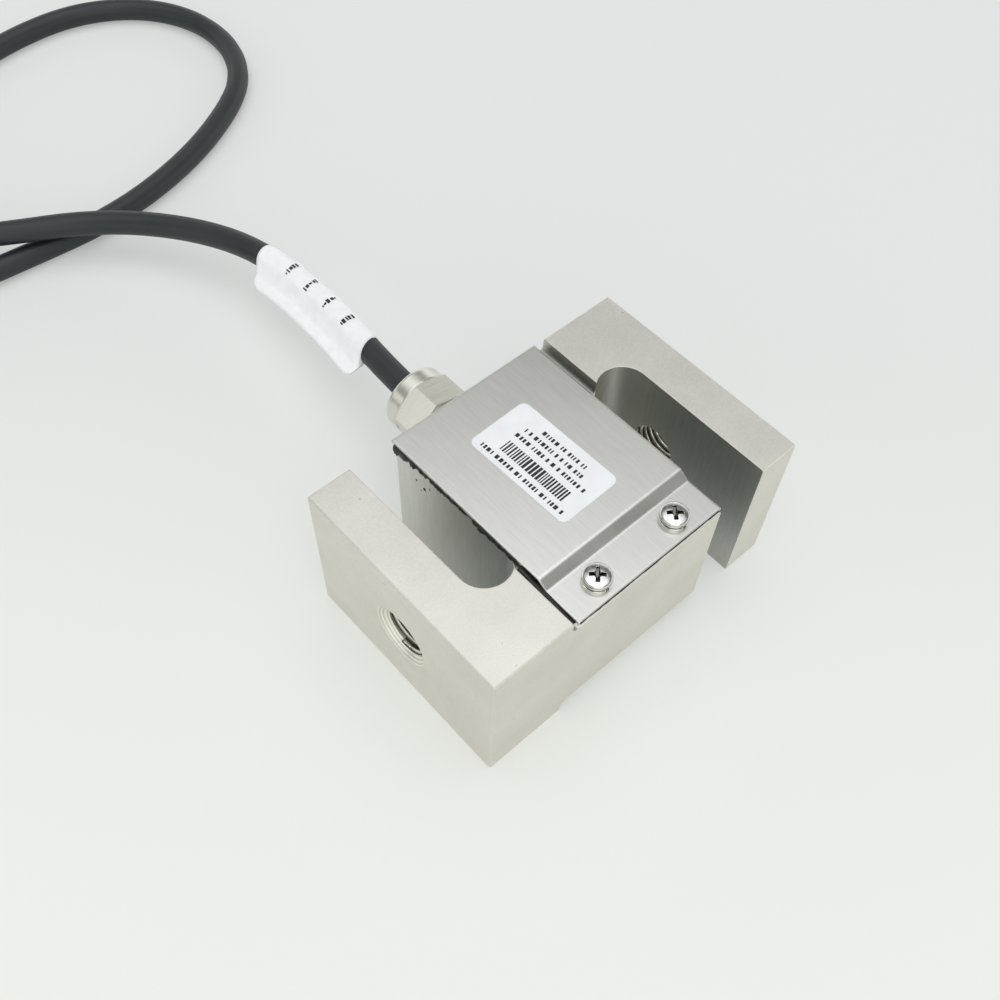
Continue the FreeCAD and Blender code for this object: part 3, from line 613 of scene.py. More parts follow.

# %% [markdown]
# Both end bars are threaded. The CAD bore stands at the thread's core, so the turns are added here as a
# helical sleeve, at the pitch of an M12 fine thread. Each vertex remembers how near the crest it is:
# its crests get a painted highlight, and its roots painted shade.

# %% A thread
THREAD_PITCH = 1.25
THREAD_RIDGE = 0.5
THREAD_STEPS = 72  # places round one turn
THREAD_FADE = 8  # places over which a thread's end grows to its full height
THREAD_CLEAR = 0.02  # between the sleeve and the bore
THREAD_PROFILE = [(-0.5, 0), (-0.36, 0.06), (-0.08, 1), (0.08, 1), (0.36, 0.06), (0.5, 0)]  # pitches, heights


def mark(piece, name, values):
    """Store one number per vertex, for its material to read."""
    layer = piece.data.attributes.new(name, "FLOAT", "POINT")
    layer.data.foreach_set("value", values)


def make_thread(name, inner_x, outer_x, radius, centre_z):
    """A helical sleeve in a bore along X, between two places, in millimetres."""
    turns = (abs(outer_x - inner_x) - THREAD_PITCH) / THREAD_PITCH
    along = 1 if outer_x > inner_x else -1
    points, crest = [], []
    rows = int(turns * THREAD_STEPS)
    for row in range(rows + 1):
        angle = 2 * math.pi * row / THREAD_STEPS
        fade = min(1, row / THREAD_FADE, (rows - row) / THREAD_FADE)
        for offset, height in THREAD_PROFILE:
            x = inner_x + along * (THREAD_PITCH * (0.5 + row / THREAD_STEPS + offset))
            r = radius - THREAD_CLEAR - THREAD_RIDGE * height * fade
            points.append(Vector((x, r * math.cos(angle), centre_z + r * math.sin(angle))) * MM)
            crest.append(height)
    piece = solid(name, points, skin(rows + 1, len(THREAD_PROFILE)), smooth=False)
    mark(piece, "crest", crest)
    return piece


print(f"a thread of {THREAD_PITCH} mm pitch")

# %% Threads in the end bars
THREAD_END, THREAD_MOUTH = 9.4, 0.9  # depths from the end bar's face

mounts = {mount["name"]: mount for mount in frame["record"]["mounts"]}
body_low, body_high = box_of("spring_body")
threads = []
for side, hand in ((-1, "left"), (1, "right")):
    mount = mounts[f"thread_{hand}"]
    face_x = body_high.x if side > 0 else body_low.x
    piece = make_thread(f"mount_thread_{hand}", face_x - side * THREAD_END, face_x - side * THREAD_MOUTH,
                        mount["dims"]["r_mm"], mount["pos_m"][2] / MM)
    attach(piece, "root")
    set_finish(piece, "nickel_plated_steel")
    threads.append(piece)
print(f"threads of {len(threads[0].data.polygons)} faces each")

# %% [markdown]
# The cover screws are small pan heads on split lock washers. The head's top is only slightly crowned, with
# a cross recess whose arms get deeper towards the middle. A turned profile gives the head, and the recess
# is a depth taken off the same round grid of points, so the mesh stays one clean skin.

# %% The head's form
HEAD_SIDES = 120
HEAD_HEIGHT = 2.2
HEAD_RADIUS = 2.58  # of its domed top
SHANK = [(0.01, -5.9), (1.45, -5.9), (1.45, 0), (1.6, 0.84)]  # radius, height over the washer's seat
HEAD_EDGE = [(2.55, 0.86), (2.76, 1), (2.76, 1.42), (2.72, 1.62), (HEAD_RADIUS, 1.8)]
TOP_RINGS = [2.35, 2.1] + [0.05 * i for i in range(38, 0, -1)]  # close enough together for the recess
RECESS_REACH = 1.55
RECESS_LIMIT = (2, 1.7)  # the recess is inside this radius and above this height
RECESS_SHADE_DEPTH = 0.5
SHARP = math.radians(40)


def crown(r):
    """The height of the head's slightly domed top at a distance from its middle."""
    return HEAD_HEIGHT - 0.4 * (r / HEAD_RADIUS) ** 2.6


def recess_depth(x, y):
    """How deep the cross recess is at a point, zero outside it."""
    x, y = abs(x), abs(y)
    inside = min(max((0.38 - min(x, y)) / 0.07, (0.25 - x * y) / 0.12), 1)
    inside = min(inside, (RECESS_REACH - max(x, y)) / 0.08)
    return max(inside, 0) * (0.45 + 0.9 * (1 - math.hypot(x, y) / RECESS_REACH))


print(f"the recess is {recess_depth(0, 0):.2f} mm deep")


# %% Screws and washers
WASHER_SECTION = [(1.62, 0), (2.72, 0), (2.8, 0.08), (2.8, 0.52), (2.72, 0.6), (1.62, 0.6)]
WASHER_ROWS = 80
WASHER_GAP = math.radians(16)
WASHER_FLAT, WASHER_RISE = 0.96, 0.03  # clamped, with one end a little higher than the other


def turned_point(centre, seat, face, r, angle, z):
    """A place round a screw's axis, in metres. face is 1 on the top and -1 underneath."""
    x, y = r * math.cos(angle), face * r * math.sin(angle)
    return Vector((centre.x + x, centre.y + y, seat + face * z)) * MM


def make_screw(name, node, face, turned):
    screw_low, screw_high = box_of(node)
    centre = (screw_low + screw_high) / 2
    seat = screw_high.z - HEAD_HEIGHT if face > 0 else screw_low.z + HEAD_HEIGHT
    profile = SHANK + HEAD_EDGE + [(r, crown(r)) for r in TOP_RINGS]
    points, recess_shade = [], []
    for r, z in profile:
        for side in range(HEAD_SIDES):
            angle = 2 * math.pi * side / HEAD_SIDES
            on_top = r < RECESS_LIMIT[0] and z > RECESS_LIMIT[1]
            depth = recess_depth(r * math.cos(angle), r * math.sin(angle)) if on_top else 0
            points.append(turned_point(centre, seat, face, r, angle + turned, z - depth))
            # how much painted shade the recess gets here, by its depth
            recess_shade.append(min(depth / RECESS_SHADE_DEPTH, 1))
    piece = solid(name, points, skin(len(profile), HEAD_SIDES))
    piece.data.set_sharp_from_angle(angle=SHARP)
    mark(piece, "recess_shade", recess_shade)
    return piece, centre, seat


def make_lock_washer(name, centre, seat, face, gap_at):
    """A split ring whose ends stand a little apart in height."""
    points = []
    for row in range(WASHER_ROWS + 1):
        share = row / WASHER_ROWS
        angle = gap_at + WASHER_GAP / 2 + (2 * math.pi - WASHER_GAP) * share
        for r, z in WASHER_SECTION:
            points.append(turned_point(centre, seat, face, r, angle, z * WASHER_FLAT + WASHER_RISE * share))
    piece = solid(name, points, skin(WASHER_ROWS + 1, len(WASHER_SECTION)))
    piece.data.set_sharp_from_angle(angle=SHARP)
    return piece


# %% Four of each
SCREW_TURNS = {("top", "left"): -44, ("top", "right"): -40, ("bottom", "left"): 12, ("bottom", "right"): 61}
for (word, hand), degrees in SCREW_TURNS.items():
    face = 1 if word == "top" else -1
    node = f"{word}_screw_{hand}"
    screw, centre, seat = make_screw(f"cross_recess_{node}", node, face, math.radians(degrees))
    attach(screw, "root")
    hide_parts(node)
    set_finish(screw, "screw_steel")
    gap_at = math.radians(-86 + degrees / 8)
    washer = make_lock_washer(f"lock_washer_{word}_{hand}", centre, seat, face, gap_at)
    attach(washer, "root")
    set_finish(washer, "washer_steel")
print(f"screw of {len(screw.data.polygons)} faces, washer of {len(washer.data.polygons)}")

# %% [markdown]
# The label carries no words. Rows of short bars stand where lines of print would be, and a block of
# upright bars between them, all of plain printed film a hundredth of a millimetre thick.

# %% Print on the label
label_low, label_high = box_of("cover_label")
LABEL_TURN = math.radians(1.5)
INK_DOWN, INK_UP = 0.01, 0.012  # from the label's top
LINES = [(4.6, -6.5, 4.5), (2.6, -7.5, 7.5), (0.6, -10, 7.5), (-5.7, -10.6, 10.8)]  # place, start, end
HALF_LINE = 0.47


def row_of_bars(draw, x1, x2, start, end, widths, gaps):
    """Bars (x1, x2, y1, y2) of random widths, with random gaps between them."""
    found, y = [], start
    while y < end:
        width = draw.choice(widths)
        found.append((x1, x2, y, y + width))
        y += width + draw.choice(gaps)
    return found


def make_bar(centre, top, x1, x2, y1, y2):
    """The points and faces of one thin bar, given in the label's own millimetres."""
    cos, sin = math.cos(LABEL_TURN), math.sin(LABEL_TURN)
    corners = [(x1, y1), (x2, y1), (x2, y2), (x1, y2)]
    points = [Vector((centre.x + x * cos - y * sin, centre.y + x * sin + y * cos, z)) * MM
              for z in (top - INK_DOWN, top + INK_UP) for x, y in corners]
    return points, skin(2, len(corners))


draw = random.Random(4)
bars = []
for x, start, end in LINES:
    bars += row_of_bars(draw, x - HALF_LINE, x + HALF_LINE, start, end, (0.3, 0.5, 0.75), (0.3, 0.4, 0.8))
bars += row_of_bars(draw, -4.1, -1.3, -8.6, 7.4, (0.25, 0.4, 0.6), (0.25, 0.35))
label_middle = (label_low + label_high) / 2
shapes = [make_bar(label_middle, label_high.z, *bar) for bar in bars]
print_marks = solid("label_print", *joined(shapes), smooth=False)
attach(print_marks, "root")
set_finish(print_marks, "core_black")
print(f"{len(bars)} printed bars")

# %% [markdown]
# Each finish starts from the real material and how its surface was made. Colours are sRGB hex values,
# turned linear by one function, and one small function adds a node with its settings and links.

# %% Helpers for materials
def linear(code):
    """An sRGB hex colour as linear RGBA."""
    values = [int(code[i:i + 2], 16) / 255 for i in (1, 3, 5)]
    return (*[v / 12.92 if v <= 0.04045 else ((v + 0.055) / 1.055) ** 2.4 for v in values], 1)


def connect(tree, node, inputs):
    """Set or link a node's inputs, given by name or in order. A hex code is a colour, and a node stands
    for the first of its outputs that is in use."""
    for name, value in inputs.items() if isinstance(inputs, dict) else enumerate(inputs):
        if isinstance(value, bpy.types.Node):
            value = next(socket for socket in value.outputs if socket.enabled)
        if isinstance(value, bpy.types.NodeSocket):
            tree.links.new(value, node.inputs[name])
        else:
            node.inputs[name].default_value = linear(value) if isinstance(value, str) else value


def add(tree, kind, inputs=(), **settings):
    """Add a node with its settings and links."""
    made = tree.nodes.new(kind)
    for name, value in settings.items():
        setattr(made, name, value)
    connect(tree, made, inputs)
    return made


def start_material(name):
    """A new material with its node tree, its shader and its place in metres."""
    material = bpy.data.materials.new(name)
    material.use_nodes = True
    tree = material.node_tree
    tree.nodes.clear()
    shader = add(tree, "ShaderNodeBsdfPrincipled")
    add(tree, "ShaderNodeOutputMaterial", {"Surface": shader})
    place = add(tree, "ShaderNodeTexCoord").outputs["Object"]
    return material, tree, shader, place


def per_mm(size):
    """A texture's Scale for features of this size in millimetres, as places are in metres."""
    return 1 / (size * MM)


print(f"sRGB #808080 is {linear('#808080')[0]:.3f} in linear light")

# %% [markdown]
# No real surface is one colour or one roughness all over, so both wander with a noise in most finishes,
# most of which lies from 0.3 to 0.7. A fine grain bends the light, which a bump does without more faces.

# %% What most finishes share
NOISE_LOW, NOISE_HIGH = 0.3, 0.7
GRAIN_HEIGHT = 0.02
EASED = {"interpolation_type": "SMOOTHSTEP"}  # a change that starts and ends gently


def paint(tree, factor, first, second, low=NOISE_LOW, high=NOISE_HIGH, **ease):
    """A colour that goes from first to second while factor goes from low to high."""
    share = add(tree, "ShaderNodeMapRange", [factor, low, high], **ease)
    return add(tree, "ShaderNodeMix", {"Factor": share, "A": first, "B": second}, data_type="RGBA")


def uneven_metal(tree, shader, tone, wander, smoothest, roughest, surface=None):
    """Make the shader a metal of this tone, whose roughness wanders with a noise."""
    rough = add(tree, "ShaderNodeMapRange", [wander, NOISE_LOW, NOISE_HIGH, smoothest, roughest])
    connect(tree, shader, {"Base Color": tone, "Roughness": rough, "Metallic": 1})
    if surface:
        connect(tree, shader, {"Normal": surface})


def fine_grain(tree, place, size, strength, edge=None, stretch=(1, 1, 1)):
    """A bump whose grains are size millimetres across, longer along an axis with a smaller stretch."""
    scaled = add(tree, "ShaderNodeMapping", {"Vector": place, "Scale": stretch})
    grain = add(tree, "ShaderNodeTexNoise", {"Vector": scaled, "Scale": per_mm(size), "Detail": 3})
    bump = add(tree, "ShaderNodeBump", {"Height": grain, "Strength": strength, "Distance": GRAIN_HEIGHT * MM})
    if edge:
        connect(tree, bump, {"Normal": edge})
    return bump


print(f"grain is {GRAIN_HEIGHT} mm high")

# %% [markdown]
# The body is alloy steel, ground and nickel plated without polish. The plating keeps the fine grit of
# the ground surface, so the metal is satin: it mirrors only large soft shapes, warm and slightly mottled.
# Its edges were broken by hand, so a bevelled normal catches a thin line of light along each. Real grit
# marks are too fine to show, so they are drawn at 0.28 mm.

# %% Nickel plated steel
STEEL_EDGE = 0.25  # radius of the broken edges


def nickel_plated_steel():
    material, tree, shader, place = start_material("satin_nickel_on_ground_steel")
    cloud = add(tree, "ShaderNodeTexNoise", {"Vector": place, "Scale": per_mm(11), "Detail": 4})
    speck = add(tree, "ShaderNodeTexNoise", {"Vector": place, "Scale": per_mm(0.45), "Detail": 2})
    both = add(tree, "ShaderNodeMath", [cloud, speck], operation="ADD")
    mottled = add(tree, "ShaderNodeMath", [both, 0.5], operation="MULTIPLY")
    tone = paint(tree, mottled, "#D5D2C8", "#E6E3DB")
    tone = over_slot_wall_shade(tree, place, tone)
    tone = over_countersinks(tree, place, tone)
    tone = over_pits(tree, place, cloud, tone)
    edge = add(tree, "ShaderNodeBevel", {"Radius": STEEL_EDGE * MM}, samples=6)
    uneven_metal(tree, shader, tone, speck, 0.36, 0.47, fine_grain(tree, place, 0.28, 1, edge))
    return material

# %% [markdown]
# The slot walls were sawn out and are lined by the saw. They are the faces between the end bars that look
# along X, with painted shade that makes them darker towards the front.

# %% Slot walls
BAR_INNER_FACE = 28.7
WALL_SHADE_START = -8  # along Y; from here to the back the walls go from painted shade to light


def over_slot_wall_shade(tree, place, tone):
    axes = add(tree, "ShaderNodeSeparateXYZ", {"Vector": place}).outputs
    normal = add(tree, "ShaderNodeNewGeometry").outputs["Normal"]
    facing = add(tree, "ShaderNodeSeparateXYZ", {"Vector": normal}).outputs
    saw = add(tree, "ShaderNodeMapping", {"Vector": place, "Scale": (1, 1, 0.06)})
    lines = add(tree, "ShaderNodeTexNoise", {"Vector": saw, "Scale": per_mm(0.35), "Detail": 2})
    lit_wall_tone = paint(tree, lines, "#D3D3CC", "#DADAD3")
    shaded_wall_tone = paint(tree, lines, "#AEB0AB", "#B7B9B4")
    # painted shade: the walls are darker towards the front and lighter at the back
    wall = paint(tree, axes["Y"], shaded_wall_tone, lit_wall_tone, WALL_SHADE_START * MM, body_high.y * MM, **EASED)

    off_middle = add(tree, "ShaderNodeMath", [axes["X"]], operation="ABSOLUTE")
    reach = [BAR_INNER_FACE * MM, (BAR_INNER_FACE + 0.3) * MM]
    inward = add(tree, "ShaderNodeMapRange", [off_middle, *reach, 1, 0], **EASED)
    along_x = add(tree, "ShaderNodeMath", [facing["X"]], operation="ABSOLUTE")
    upright = add(tree, "ShaderNodeMapRange", [along_x, 0.1, 0.45], **EASED)
    on_wall = add(tree, "ShaderNodeMath", [inward, upright], operation="MULTIPLY")
    return paint(tree, on_wall, tone, wall, 0, 1)

# %% [markdown]
# Each countersink was cut last and is bright, with the tool's rings in it. The rings are a sine of the
# distance from the bore's axis. Real ones are too close together to show, so they are drawn at 0.5 mm.

# %% Countersinks
COUNTERSINK = 6.6
COUNTERSINK_DEPTH = 1.5
RING = 0.5


def over_countersinks(tree, place, tone):
    from_middle = add(tree, "ShaderNodeVectorMath", [place, (0, 1, 1), (0, 0, -body_high.z / 2 * MM)],
                      operation="MULTIPLY_ADD")
    from_axis = add(tree, "ShaderNodeVectorMath", [from_middle], operation="LENGTH")
    reach = [COUNTERSINK * MM, (COUNTERSINK + 0.15) * MM]
    near_axis = add(tree, "ShaderNodeMapRange", [from_axis, *reach, 1, 0], **EASED)
    along = add(tree, "ShaderNodeSeparateXYZ", {"Vector": place})
    off_middle = add(tree, "ShaderNodeMath", [along], operation="ABSOLUTE")
    start = body_high.x - COUNTERSINK_DEPTH
    outer = add(tree, "ShaderNodeMapRange", [off_middle, (start - 0.2) * MM, start * MM], **EASED)
    cut = add(tree, "ShaderNodeMath", [near_axis, outer], operation="MULTIPLY")
    rings = add(tree, "ShaderNodeMath", [from_axis, 2 * math.pi / (RING * MM)], operation="MULTIPLY")
    rings = add(tree, "ShaderNodeMath", [rings], operation="SINE")
    bright = paint(tree, rings, "#D3D0C3", "#F3F1E8", -1, 1, **EASED)
    return paint(tree, cut, tone, bright, 0, 1)

# %% [markdown]
# Where the plate didn't take there are pits and dark specks, one in each cell of a Voronoi pattern. The
# cloudy noise says where they are large enough to be seen, and a finer one bends them out of round.

# %% Pits
PIT_SPACING = 2.2
PIT_BEND = 0.3
PIT_SIZE = 0.1  # as a share of the spacing
PIT_SHADE = 0.45


def over_pits(tree, place, cloud, tone):
    wobble = add(tree, "ShaderNodeTexNoise", {"Vector": place, "Scale": per_mm(PIT_BEND)}).outputs["Color"]
    bent = add(tree, "ShaderNodeVectorMath", [wobble, (PIT_BEND * MM,) * 3, place], operation="MULTIPLY_ADD")
    pits = add(tree, "ShaderNodeTexVoronoi", {"Vector": bent, "Scale": per_mm(PIT_SPACING)})
    size = add(tree, "ShaderNodeMapRange", [cloud, 0.42, 0.7, 0, PIT_SIZE], **EASED)
    pit = add(tree, "ShaderNodeMath", [pits, size], operation="LESS_THAN")
    shade = add(tree, "ShaderNodeMath", [pit, PIT_SHADE], operation="MULTIPLY")
    return paint(tree, shade, tone, "#A29E92", 0, 1)


FINISHES = {"nickel_plated_steel": nickel_plated_steel()}
print(f"{len(FINISHES['nickel_plated_steel'].node_tree.nodes)} nodes in the plated steel")

# %% [markdown]
# The thread is the same steel where the tap cut it. Its tone follows the height that each vertex
# remembers: a painted highlight on the crests and painted shade in the roots.

# %% Tapped thread
def tapped_thread():
    material, tree, shader, place = start_material("tapped_steel_thread")
    crest = add(tree, "ShaderNodeAttribute", attribute_name="crest").outputs["Fac"]
    # painted highlight on the crests, painted shade in the roots
    tone = paint(tree, crest, "#5E5B4C", "#F1EEE4", 0.15, 0.85)
    tear = add(tree, "ShaderNodeTexNoise", {"Vector": place, "Scale": per_mm(0.5), "Detail": 3})
    uneven_metal(tree, shader, tone, tear, 0.2, 0.42, fine_grain(tree, place, 0.3, 0.8))
    return material


FINISHES["tapped_thread"] = tapped_thread()
print(FINISHES["tapped_thread"].name)

# %% [markdown]
# The covers are thin stainless sheet, brushed from back to front, down the joggle too. Brushing leaves
# long fine scratches, which spread a reflection across their own direction and give the sheet its silky
# lines. Real scratches are about 0.03 mm apart, too fine to show, so they are drawn at 0.25 mm.

# %% Brushed stainless sheet
SHEET_EDGE = 0.6
SCRATCH = 0.25


def brushed_stainless():
    material, tree, shader, place = start_material("brushed_stainless_sheet")
    along = add(tree, "ShaderNodeMapping", {"Vector": place, "Scale": (1, 0.04, 0.04)})
    fine = add(tree, "ShaderNodeTexNoise", {"Vector": along, "Scale": per_mm(SCRATCH), "Detail": 2})
    tone = paint(tree, fine, "#D0CFC9", "#DAD9D4", 0.25, 0.75)
    cloud = add(tree, "ShaderNodeTexNoise", {"Vector": place, "Scale": per_mm(14), "Detail": 2})
    edge = add(tree, "ShaderNodeBevel", {"Radius": SHEET_EDGE * MM}, samples=8)
    scratches = add(tree, "ShaderNodeBump", {
        "Height": fine, "Strength": 0.1, "Distance": GRAIN_HEIGHT * MM, "Normal": edge})
    uneven_metal(tree, shader, tone, cloud, 0.27, 0.33, scratches)
    return material


FINISHES["stainless_sheet"] = brushed_stainless()
print(FINISHES["stainless_sheet"].name)

# %% [markdown]
# The gland is turned and milled brass with a bright nickel plate, and the screws are plated steel. Both
# are smoother than the body. Turning leaves rings round the gland's axis, here a wave in the distance
# along Y, and the hexagon keeps the faint streaks of the bar that it was drawn from.

# %% Plated gland and screws
ALONG_GLAND = (0.05, 1, 0.05)


def nickel_plated_brass():
    material, tree, shader, place = start_material("bright_nickel_on_turned_brass")
    rings = add(tree, "ShaderNodeMapping", {"Vector": place, "Scale": ALONG_GLAND})
    turned = add(tree, "ShaderNodeTexNoise", {"Vector": rings, "Scale": per_mm(0.35), "Detail": 2})
    tone = paint(tree, turned, "#D8D6CC", "#E2E0D7")
    edge = add(tree, "ShaderNodeBevel", {"Radius": STEEL_EDGE * MM}, samples=6)
    uneven_metal(tree, shader, tone, turned, 0.27, 0.34,
                 fine_grain(tree, place, 0.35, 0.05, edge, stretch=ALONG_GLAND))
    return material


def plated_screw():
    """Its recess is painted dark, as shade, where each vertex remembers that it is deep."""
    material, tree, shader, place = start_material("bright_nickel_screw_steel")
    smear = add(tree, "ShaderNodeTexNoise", {"Vector": place, "Scale": per_mm(0.9), "Detail": 3})
    open_head_tone = paint(tree, smear, "#C4C3BF", "#E2E1DD")
    recess_shade = add(tree, "ShaderNodeAttribute", attribute_name="recess_shade").outputs["Fac"]
    # painted shade: the cross recess darkens with its depth
    tone = paint(tree, recess_shade, open_head_tone, "#65645F", 0, 1)
    uneven_metal(tree, shader, tone, smear, 0.12, 0.22, fine_grain(tree, place, 0.5, 0.12))
    return material


FINISHES["gland_brass"] = nickel_plated_brass()
FINISHES["screw_steel"] = FINISHES["washer_steel"] = plated_screw()
print(f"{len(FINISHES)} slots have a finish")

# %% [markdown]
# The strands are copper coated with tin, which is pale and a little uneven. They are too thin for a
# grain to show.

# %% Tinned copper
def tinned_copper():
    material, tree, shader, place = start_material("tinned_copper_strand")
    smear = add(tree, "ShaderNodeTexNoise", {"Vector": place, "Scale": per_mm(0.6), "Detail": 2})
    uneven_metal(tree, shader, paint(tree, smear, "#BDBBB2", "#D2D0C8"), smear, 0.25, 0.4)
    return material


FINISHES["tinned_copper"] = tinned_copper()
print(FINISHES["tinned_copper"].name)

# %% [markdown]
# Rubber, PVC, paper and film don't conduct, so their colour comes from inside and their shine is a thin
# clear reflection on top. They differ in how smooth that top is: sealant lumpy, PVC smooth from the
# extruder's die with a faint orange peel, paper dull with fibres, and label film smooth.

# %% Everything that isn't metal
DULL = {  # name, two near tones, roughness, size of patches, size of grains, strength of grains
    "sealant": ("cured_black_sealant", "#121311", "#23251F", (0.38, 0.6), 0.8, 0.35, 0.9),
    "potting": ("soft_clear_silicone", "#C9C8BE", "#DDDCD3", (0.2, 0.3), 3, 0.8, 0.2),
    "gauge_foil": ("foil_on_polyimide", "#A8702E", "#C98E48", (0.3, 0.4), 1, 0.3, 0.2),
    "terminal_board": ("glass_fibre_board", "#1B4E2A", "#26663A", (0.35, 0.45), 1, 0.4, 0.3),
    "rubber_seal": ("moulded_nitrile_rubber", "#161616", "#222222", (0.5, 0.6), 1.5, 0.3, 0.3),
    "cable_sheath": ("extruded_black_pvc", "#1B2123", "#252B2D", (0.42, 0.5), 14, 0.5, 0.25),
    "core_red": ("red_pvc_insulation", "#9E1B16", "#B0231C", (0.35, 0.42), 2, 0.3, 0.2),
    "core_black": ("black_pvc_and_ink", "#151617", "#1E1F20", (0.4, 0.5), 2, 0.3, 0.2),
    "core_green": ("green_pvc_insulation", "#17703A", "#1F8246", (0.35, 0.42), 2, 0.3, 0.2),
    "core_white": ("white_pvc_insulation", "#D6D6D2", "#E2E2DE", (0.35, 0.42), 2, 0.3, 0.2),
    "label_film": ("coated_label_film", "#E9ECF0", "#F1F4F7", (0.3, 0.36), 5, 0.6, 0.15),
    "tag_paper": ("wrapped_paper_tag", "#EFF2F4", "#F7F9FA", (0.55, 0.7), 2, 0.25, 0.5),
}


def dull(name, dark, light, roughness, patch, grain, strength):
    """A non-metal. Its sizes are in millimetres."""
    material, tree, shader, place = start_material(name)
    cloud = add(tree, "ShaderNodeTexNoise", {"Vector": place, "Scale": per_mm(patch), "Detail": 4})
    rough = add(tree, "ShaderNodeMapRange", [cloud, NOISE_LOW, NOISE_HIGH, *roughness])
    connect(tree, shader, {"Base Color": paint(tree, cloud, dark, light), "Roughness": rough,
                           "Normal": fine_grain(tree, place, grain, strength)})
    return material


for slot, values in DULL.items():
    FINISHES[slot] = dull(*values)
print(f"{len(DULL)} dull finishes")

# %% Each piece gets its finish
for part in frame["record"]["subparts"]:
    dress(nodes[part["node"]], FINISHES[part["material_slot"]])
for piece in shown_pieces():
    if "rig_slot" in piece:
        dress(piece, FINISHES[piece["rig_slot"]])
for piece in threads:
    dress(piece, FINISHES["tapped_thread"])
print(f"{len(FINISHES)} finishes")

# %% [markdown]
# The floor is pale paper. Part of its brightness is added for what is seen or mirrored, as in a lit white
# tent, and the shadow stays in the rest. The sheet is 6 m wide, so that its edge is far away.

# %% Floor
TENT_GLOW = 0.4
FLOOR_HALF = 3  # metres
FLOOR_LIGHT_FALLOFF = 0.12  # metres; painted light falloff: the near paper is a little lighter and warmer than the far

corners = [(x * FLOOR_HALF, y * FLOOR_HALF, 0) for x, y in ((-1, -1), (1, -1), (1, 1), (-1, 1))]
floor_mesh = bpy.data.meshes.new("floor")
floor_mesh.from_pydata(corners, [], [(0, 1, 2, 3)])
floor = show(floor_mesh, "floor")
paper, tree, shader, place = start_material("pale_studio_paper")
split = add(tree, "ShaderNodeSeparateXYZ", {"Vector": place}).outputs
depth = add(tree, "ShaderNodeMath", [split["X"], split["Y"]], operation="ADD")
# painted light falloff: lighter paper near the cell, darker further back
tone = paint(tree, depth, "#EFF0EB", "#E4E7E5", -FLOOR_LIGHT_FALLOFF, FLOOR_LIGHT_FALLOFF, **EASED)
connect(tree, shader, {"Base Color": tone, "Roughness": 0.8, "Specular IOR Level": 0.2})
ray = add(tree, "ShaderNodeLightPath").outputs
seen = ray["Is Camera Ray"]
for other in ("Is Glossy Ray", "Is Transmission Ray"):
    seen = add(tree, "ShaderNodeMath", [seen, ray[other]], operation="MAXIMUM")
glow = add(tree, "ShaderNodeEmission", {"Color": tone, "Strength": 1})
share = add(tree, "ShaderNodeMath", [seen, TENT_GLOW], operation="MULTIPLY")
lit = add(tree, "ShaderNodeMixShader", [share, shader, glow])
connect(tree, tree.get_output_node("ALL"), {"Surface": lit})
dress(floor, paper)
print(f"floor {2 * FLOOR_HALF} m wide")

# %% [markdown]
# The room is mostly light of its own: even at the sides, dark in a band above them, and bright towards
# the ceiling, which the satin metal's upper faces mirror. A ramp up the sky gives these bands. A grey card
# low at the left, behind the cell, darkens what the gland's left flat mirrors. The camera sees one plain
# pale background instead, because the bands are there for the metal.

# %% Sky
SKY = [  # height, from the horizon at 0 to straight up at 1, and colour
    (0.0, "#B4B5B2"), (0.08, "#DADBD8"), (0.38, "#D6D7D4"), (0.52, "#6E6F6D"), (0.7, "#585957"),
    (0.75, "#868785"), (0.77, "#C6C7C6"), (0.8, "#A4A5A4"), (0.85, "#DADBDE"), (0.9, "#F9FBFF"),
    (1.0, "#FBFDFF"),
]
SKY_LEVEL = 1.68
CARD = (-0.855, 0.518, 0.0)  # the way to the grey card
CARD_EDGE, CARD_FULL = 0.87, 0.96  # cosines of the angles from it at which it starts and is full
CARD_SHADE = 0.15

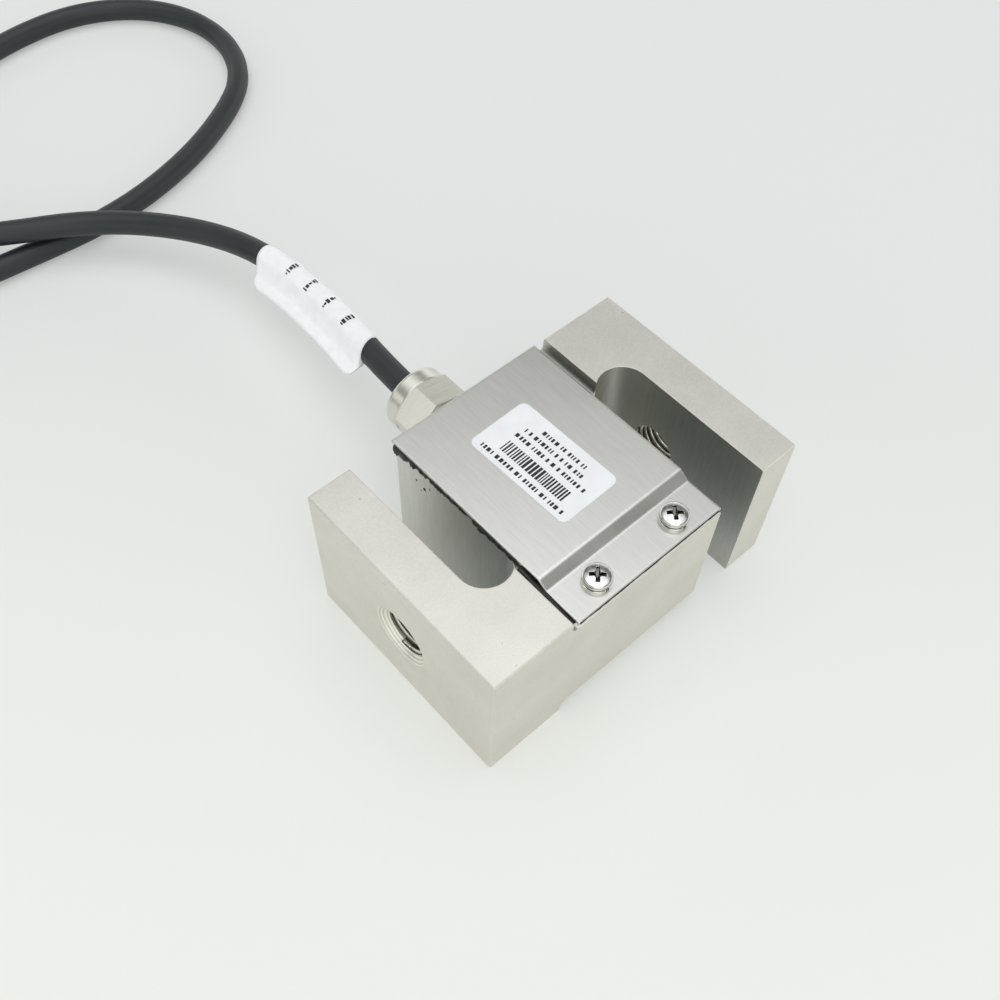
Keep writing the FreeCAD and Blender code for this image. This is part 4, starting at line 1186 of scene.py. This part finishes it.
world = bpy.data.worlds.new("soft_sky")
bpy.context.scene.world = world
world.use_nodes = True
tree = world.node_tree
tree.nodes.clear()
direction = add(tree, "ShaderNodeTexCoord").outputs["Generated"]
height = add(tree, "ShaderNodeSeparateXYZ", {"Vector": direction}).outputs["Z"]
sky = add(tree, "ShaderNodeValToRGB", {"Fac": height})
stops = sky.color_ramp.elements
for number, (position, code) in enumerate(SKY):
    stop = stops[number] if number < 2 else stops.new(position)
    stop.position = position
    stop.color = linear(code)
toward_card = add(tree, "ShaderNodeVectorMath", [direction, CARD], operation="DOT_PRODUCT")
levels = [SKY_LEVEL, CARD_SHADE * SKY_LEVEL]
level = add(tree, "ShaderNodeMapRange", [toward_card, CARD_EDGE, CARD_FULL, *levels], **EASED)
bands = add(tree, "ShaderNodeBackground", {"Color": sky, "Strength": level})
plain = add(tree, "ShaderNodeBackground", {"Color": "#ECEEEB"})
camera_ray = add(tree, "ShaderNodeLightPath").outputs["Is Camera Ray"]
room = add(tree, "ShaderNodeMixShader", [camera_ray, bands, plain])
add(tree, "ShaderNodeOutputWorld", {"Surface": room})
print(f"a sky of {len(SKY)} bands")

# %% [markdown]
# A broad soft lamp stands behind the viewer, so the shadows are faint and fall away from the front. A
# smaller and weaker one stands low at the left, further back.

# %% Lamps
def add_lamp(name, place, target, size, power, colour):
    """A square soft lamp at a place, aimed at a target, both in metres."""
    lamp = bpy.data.lights.new(name, "AREA")
    lamp.size = size
    lamp.energy = power
    lamp.color = linear(colour)[:3]
    holder = show(lamp, name)
    holder.location = place
    holder.rotation_mode = "QUATERNION"
    holder.rotation_quaternion = (Vector(place) - Vector(target)).to_track_quat("Z", "Y")


add_lamp("front_softbox", (-0.55, -0.85, 1.0), (0, 0, 0), 1.1, 3.6, "#FFFEFA")
add_lamp("side_softbox", (-1.1, 0.5, 0.48), (0, 0, 0.02), 0.5, 0.8, "#FFFFFF")
bpy.context.scene.view_settings.view_transform = "Standard"
print(f"{len(bpy.data.lights)} lamps")

# %% [markdown]
# Last, the pieces that are on the cable are gathered and counted.

# %% What is on the cable
on_cable = lead_pieces + [wires, tag, tag_marks]
on_cable += [nodes[name] for name in nodes if name.startswith(("gland_", "inner_core_"))]
print(f"{len(on_cable)} pieces on the cable")

# %% The end
bpy.context.view_layer.update()
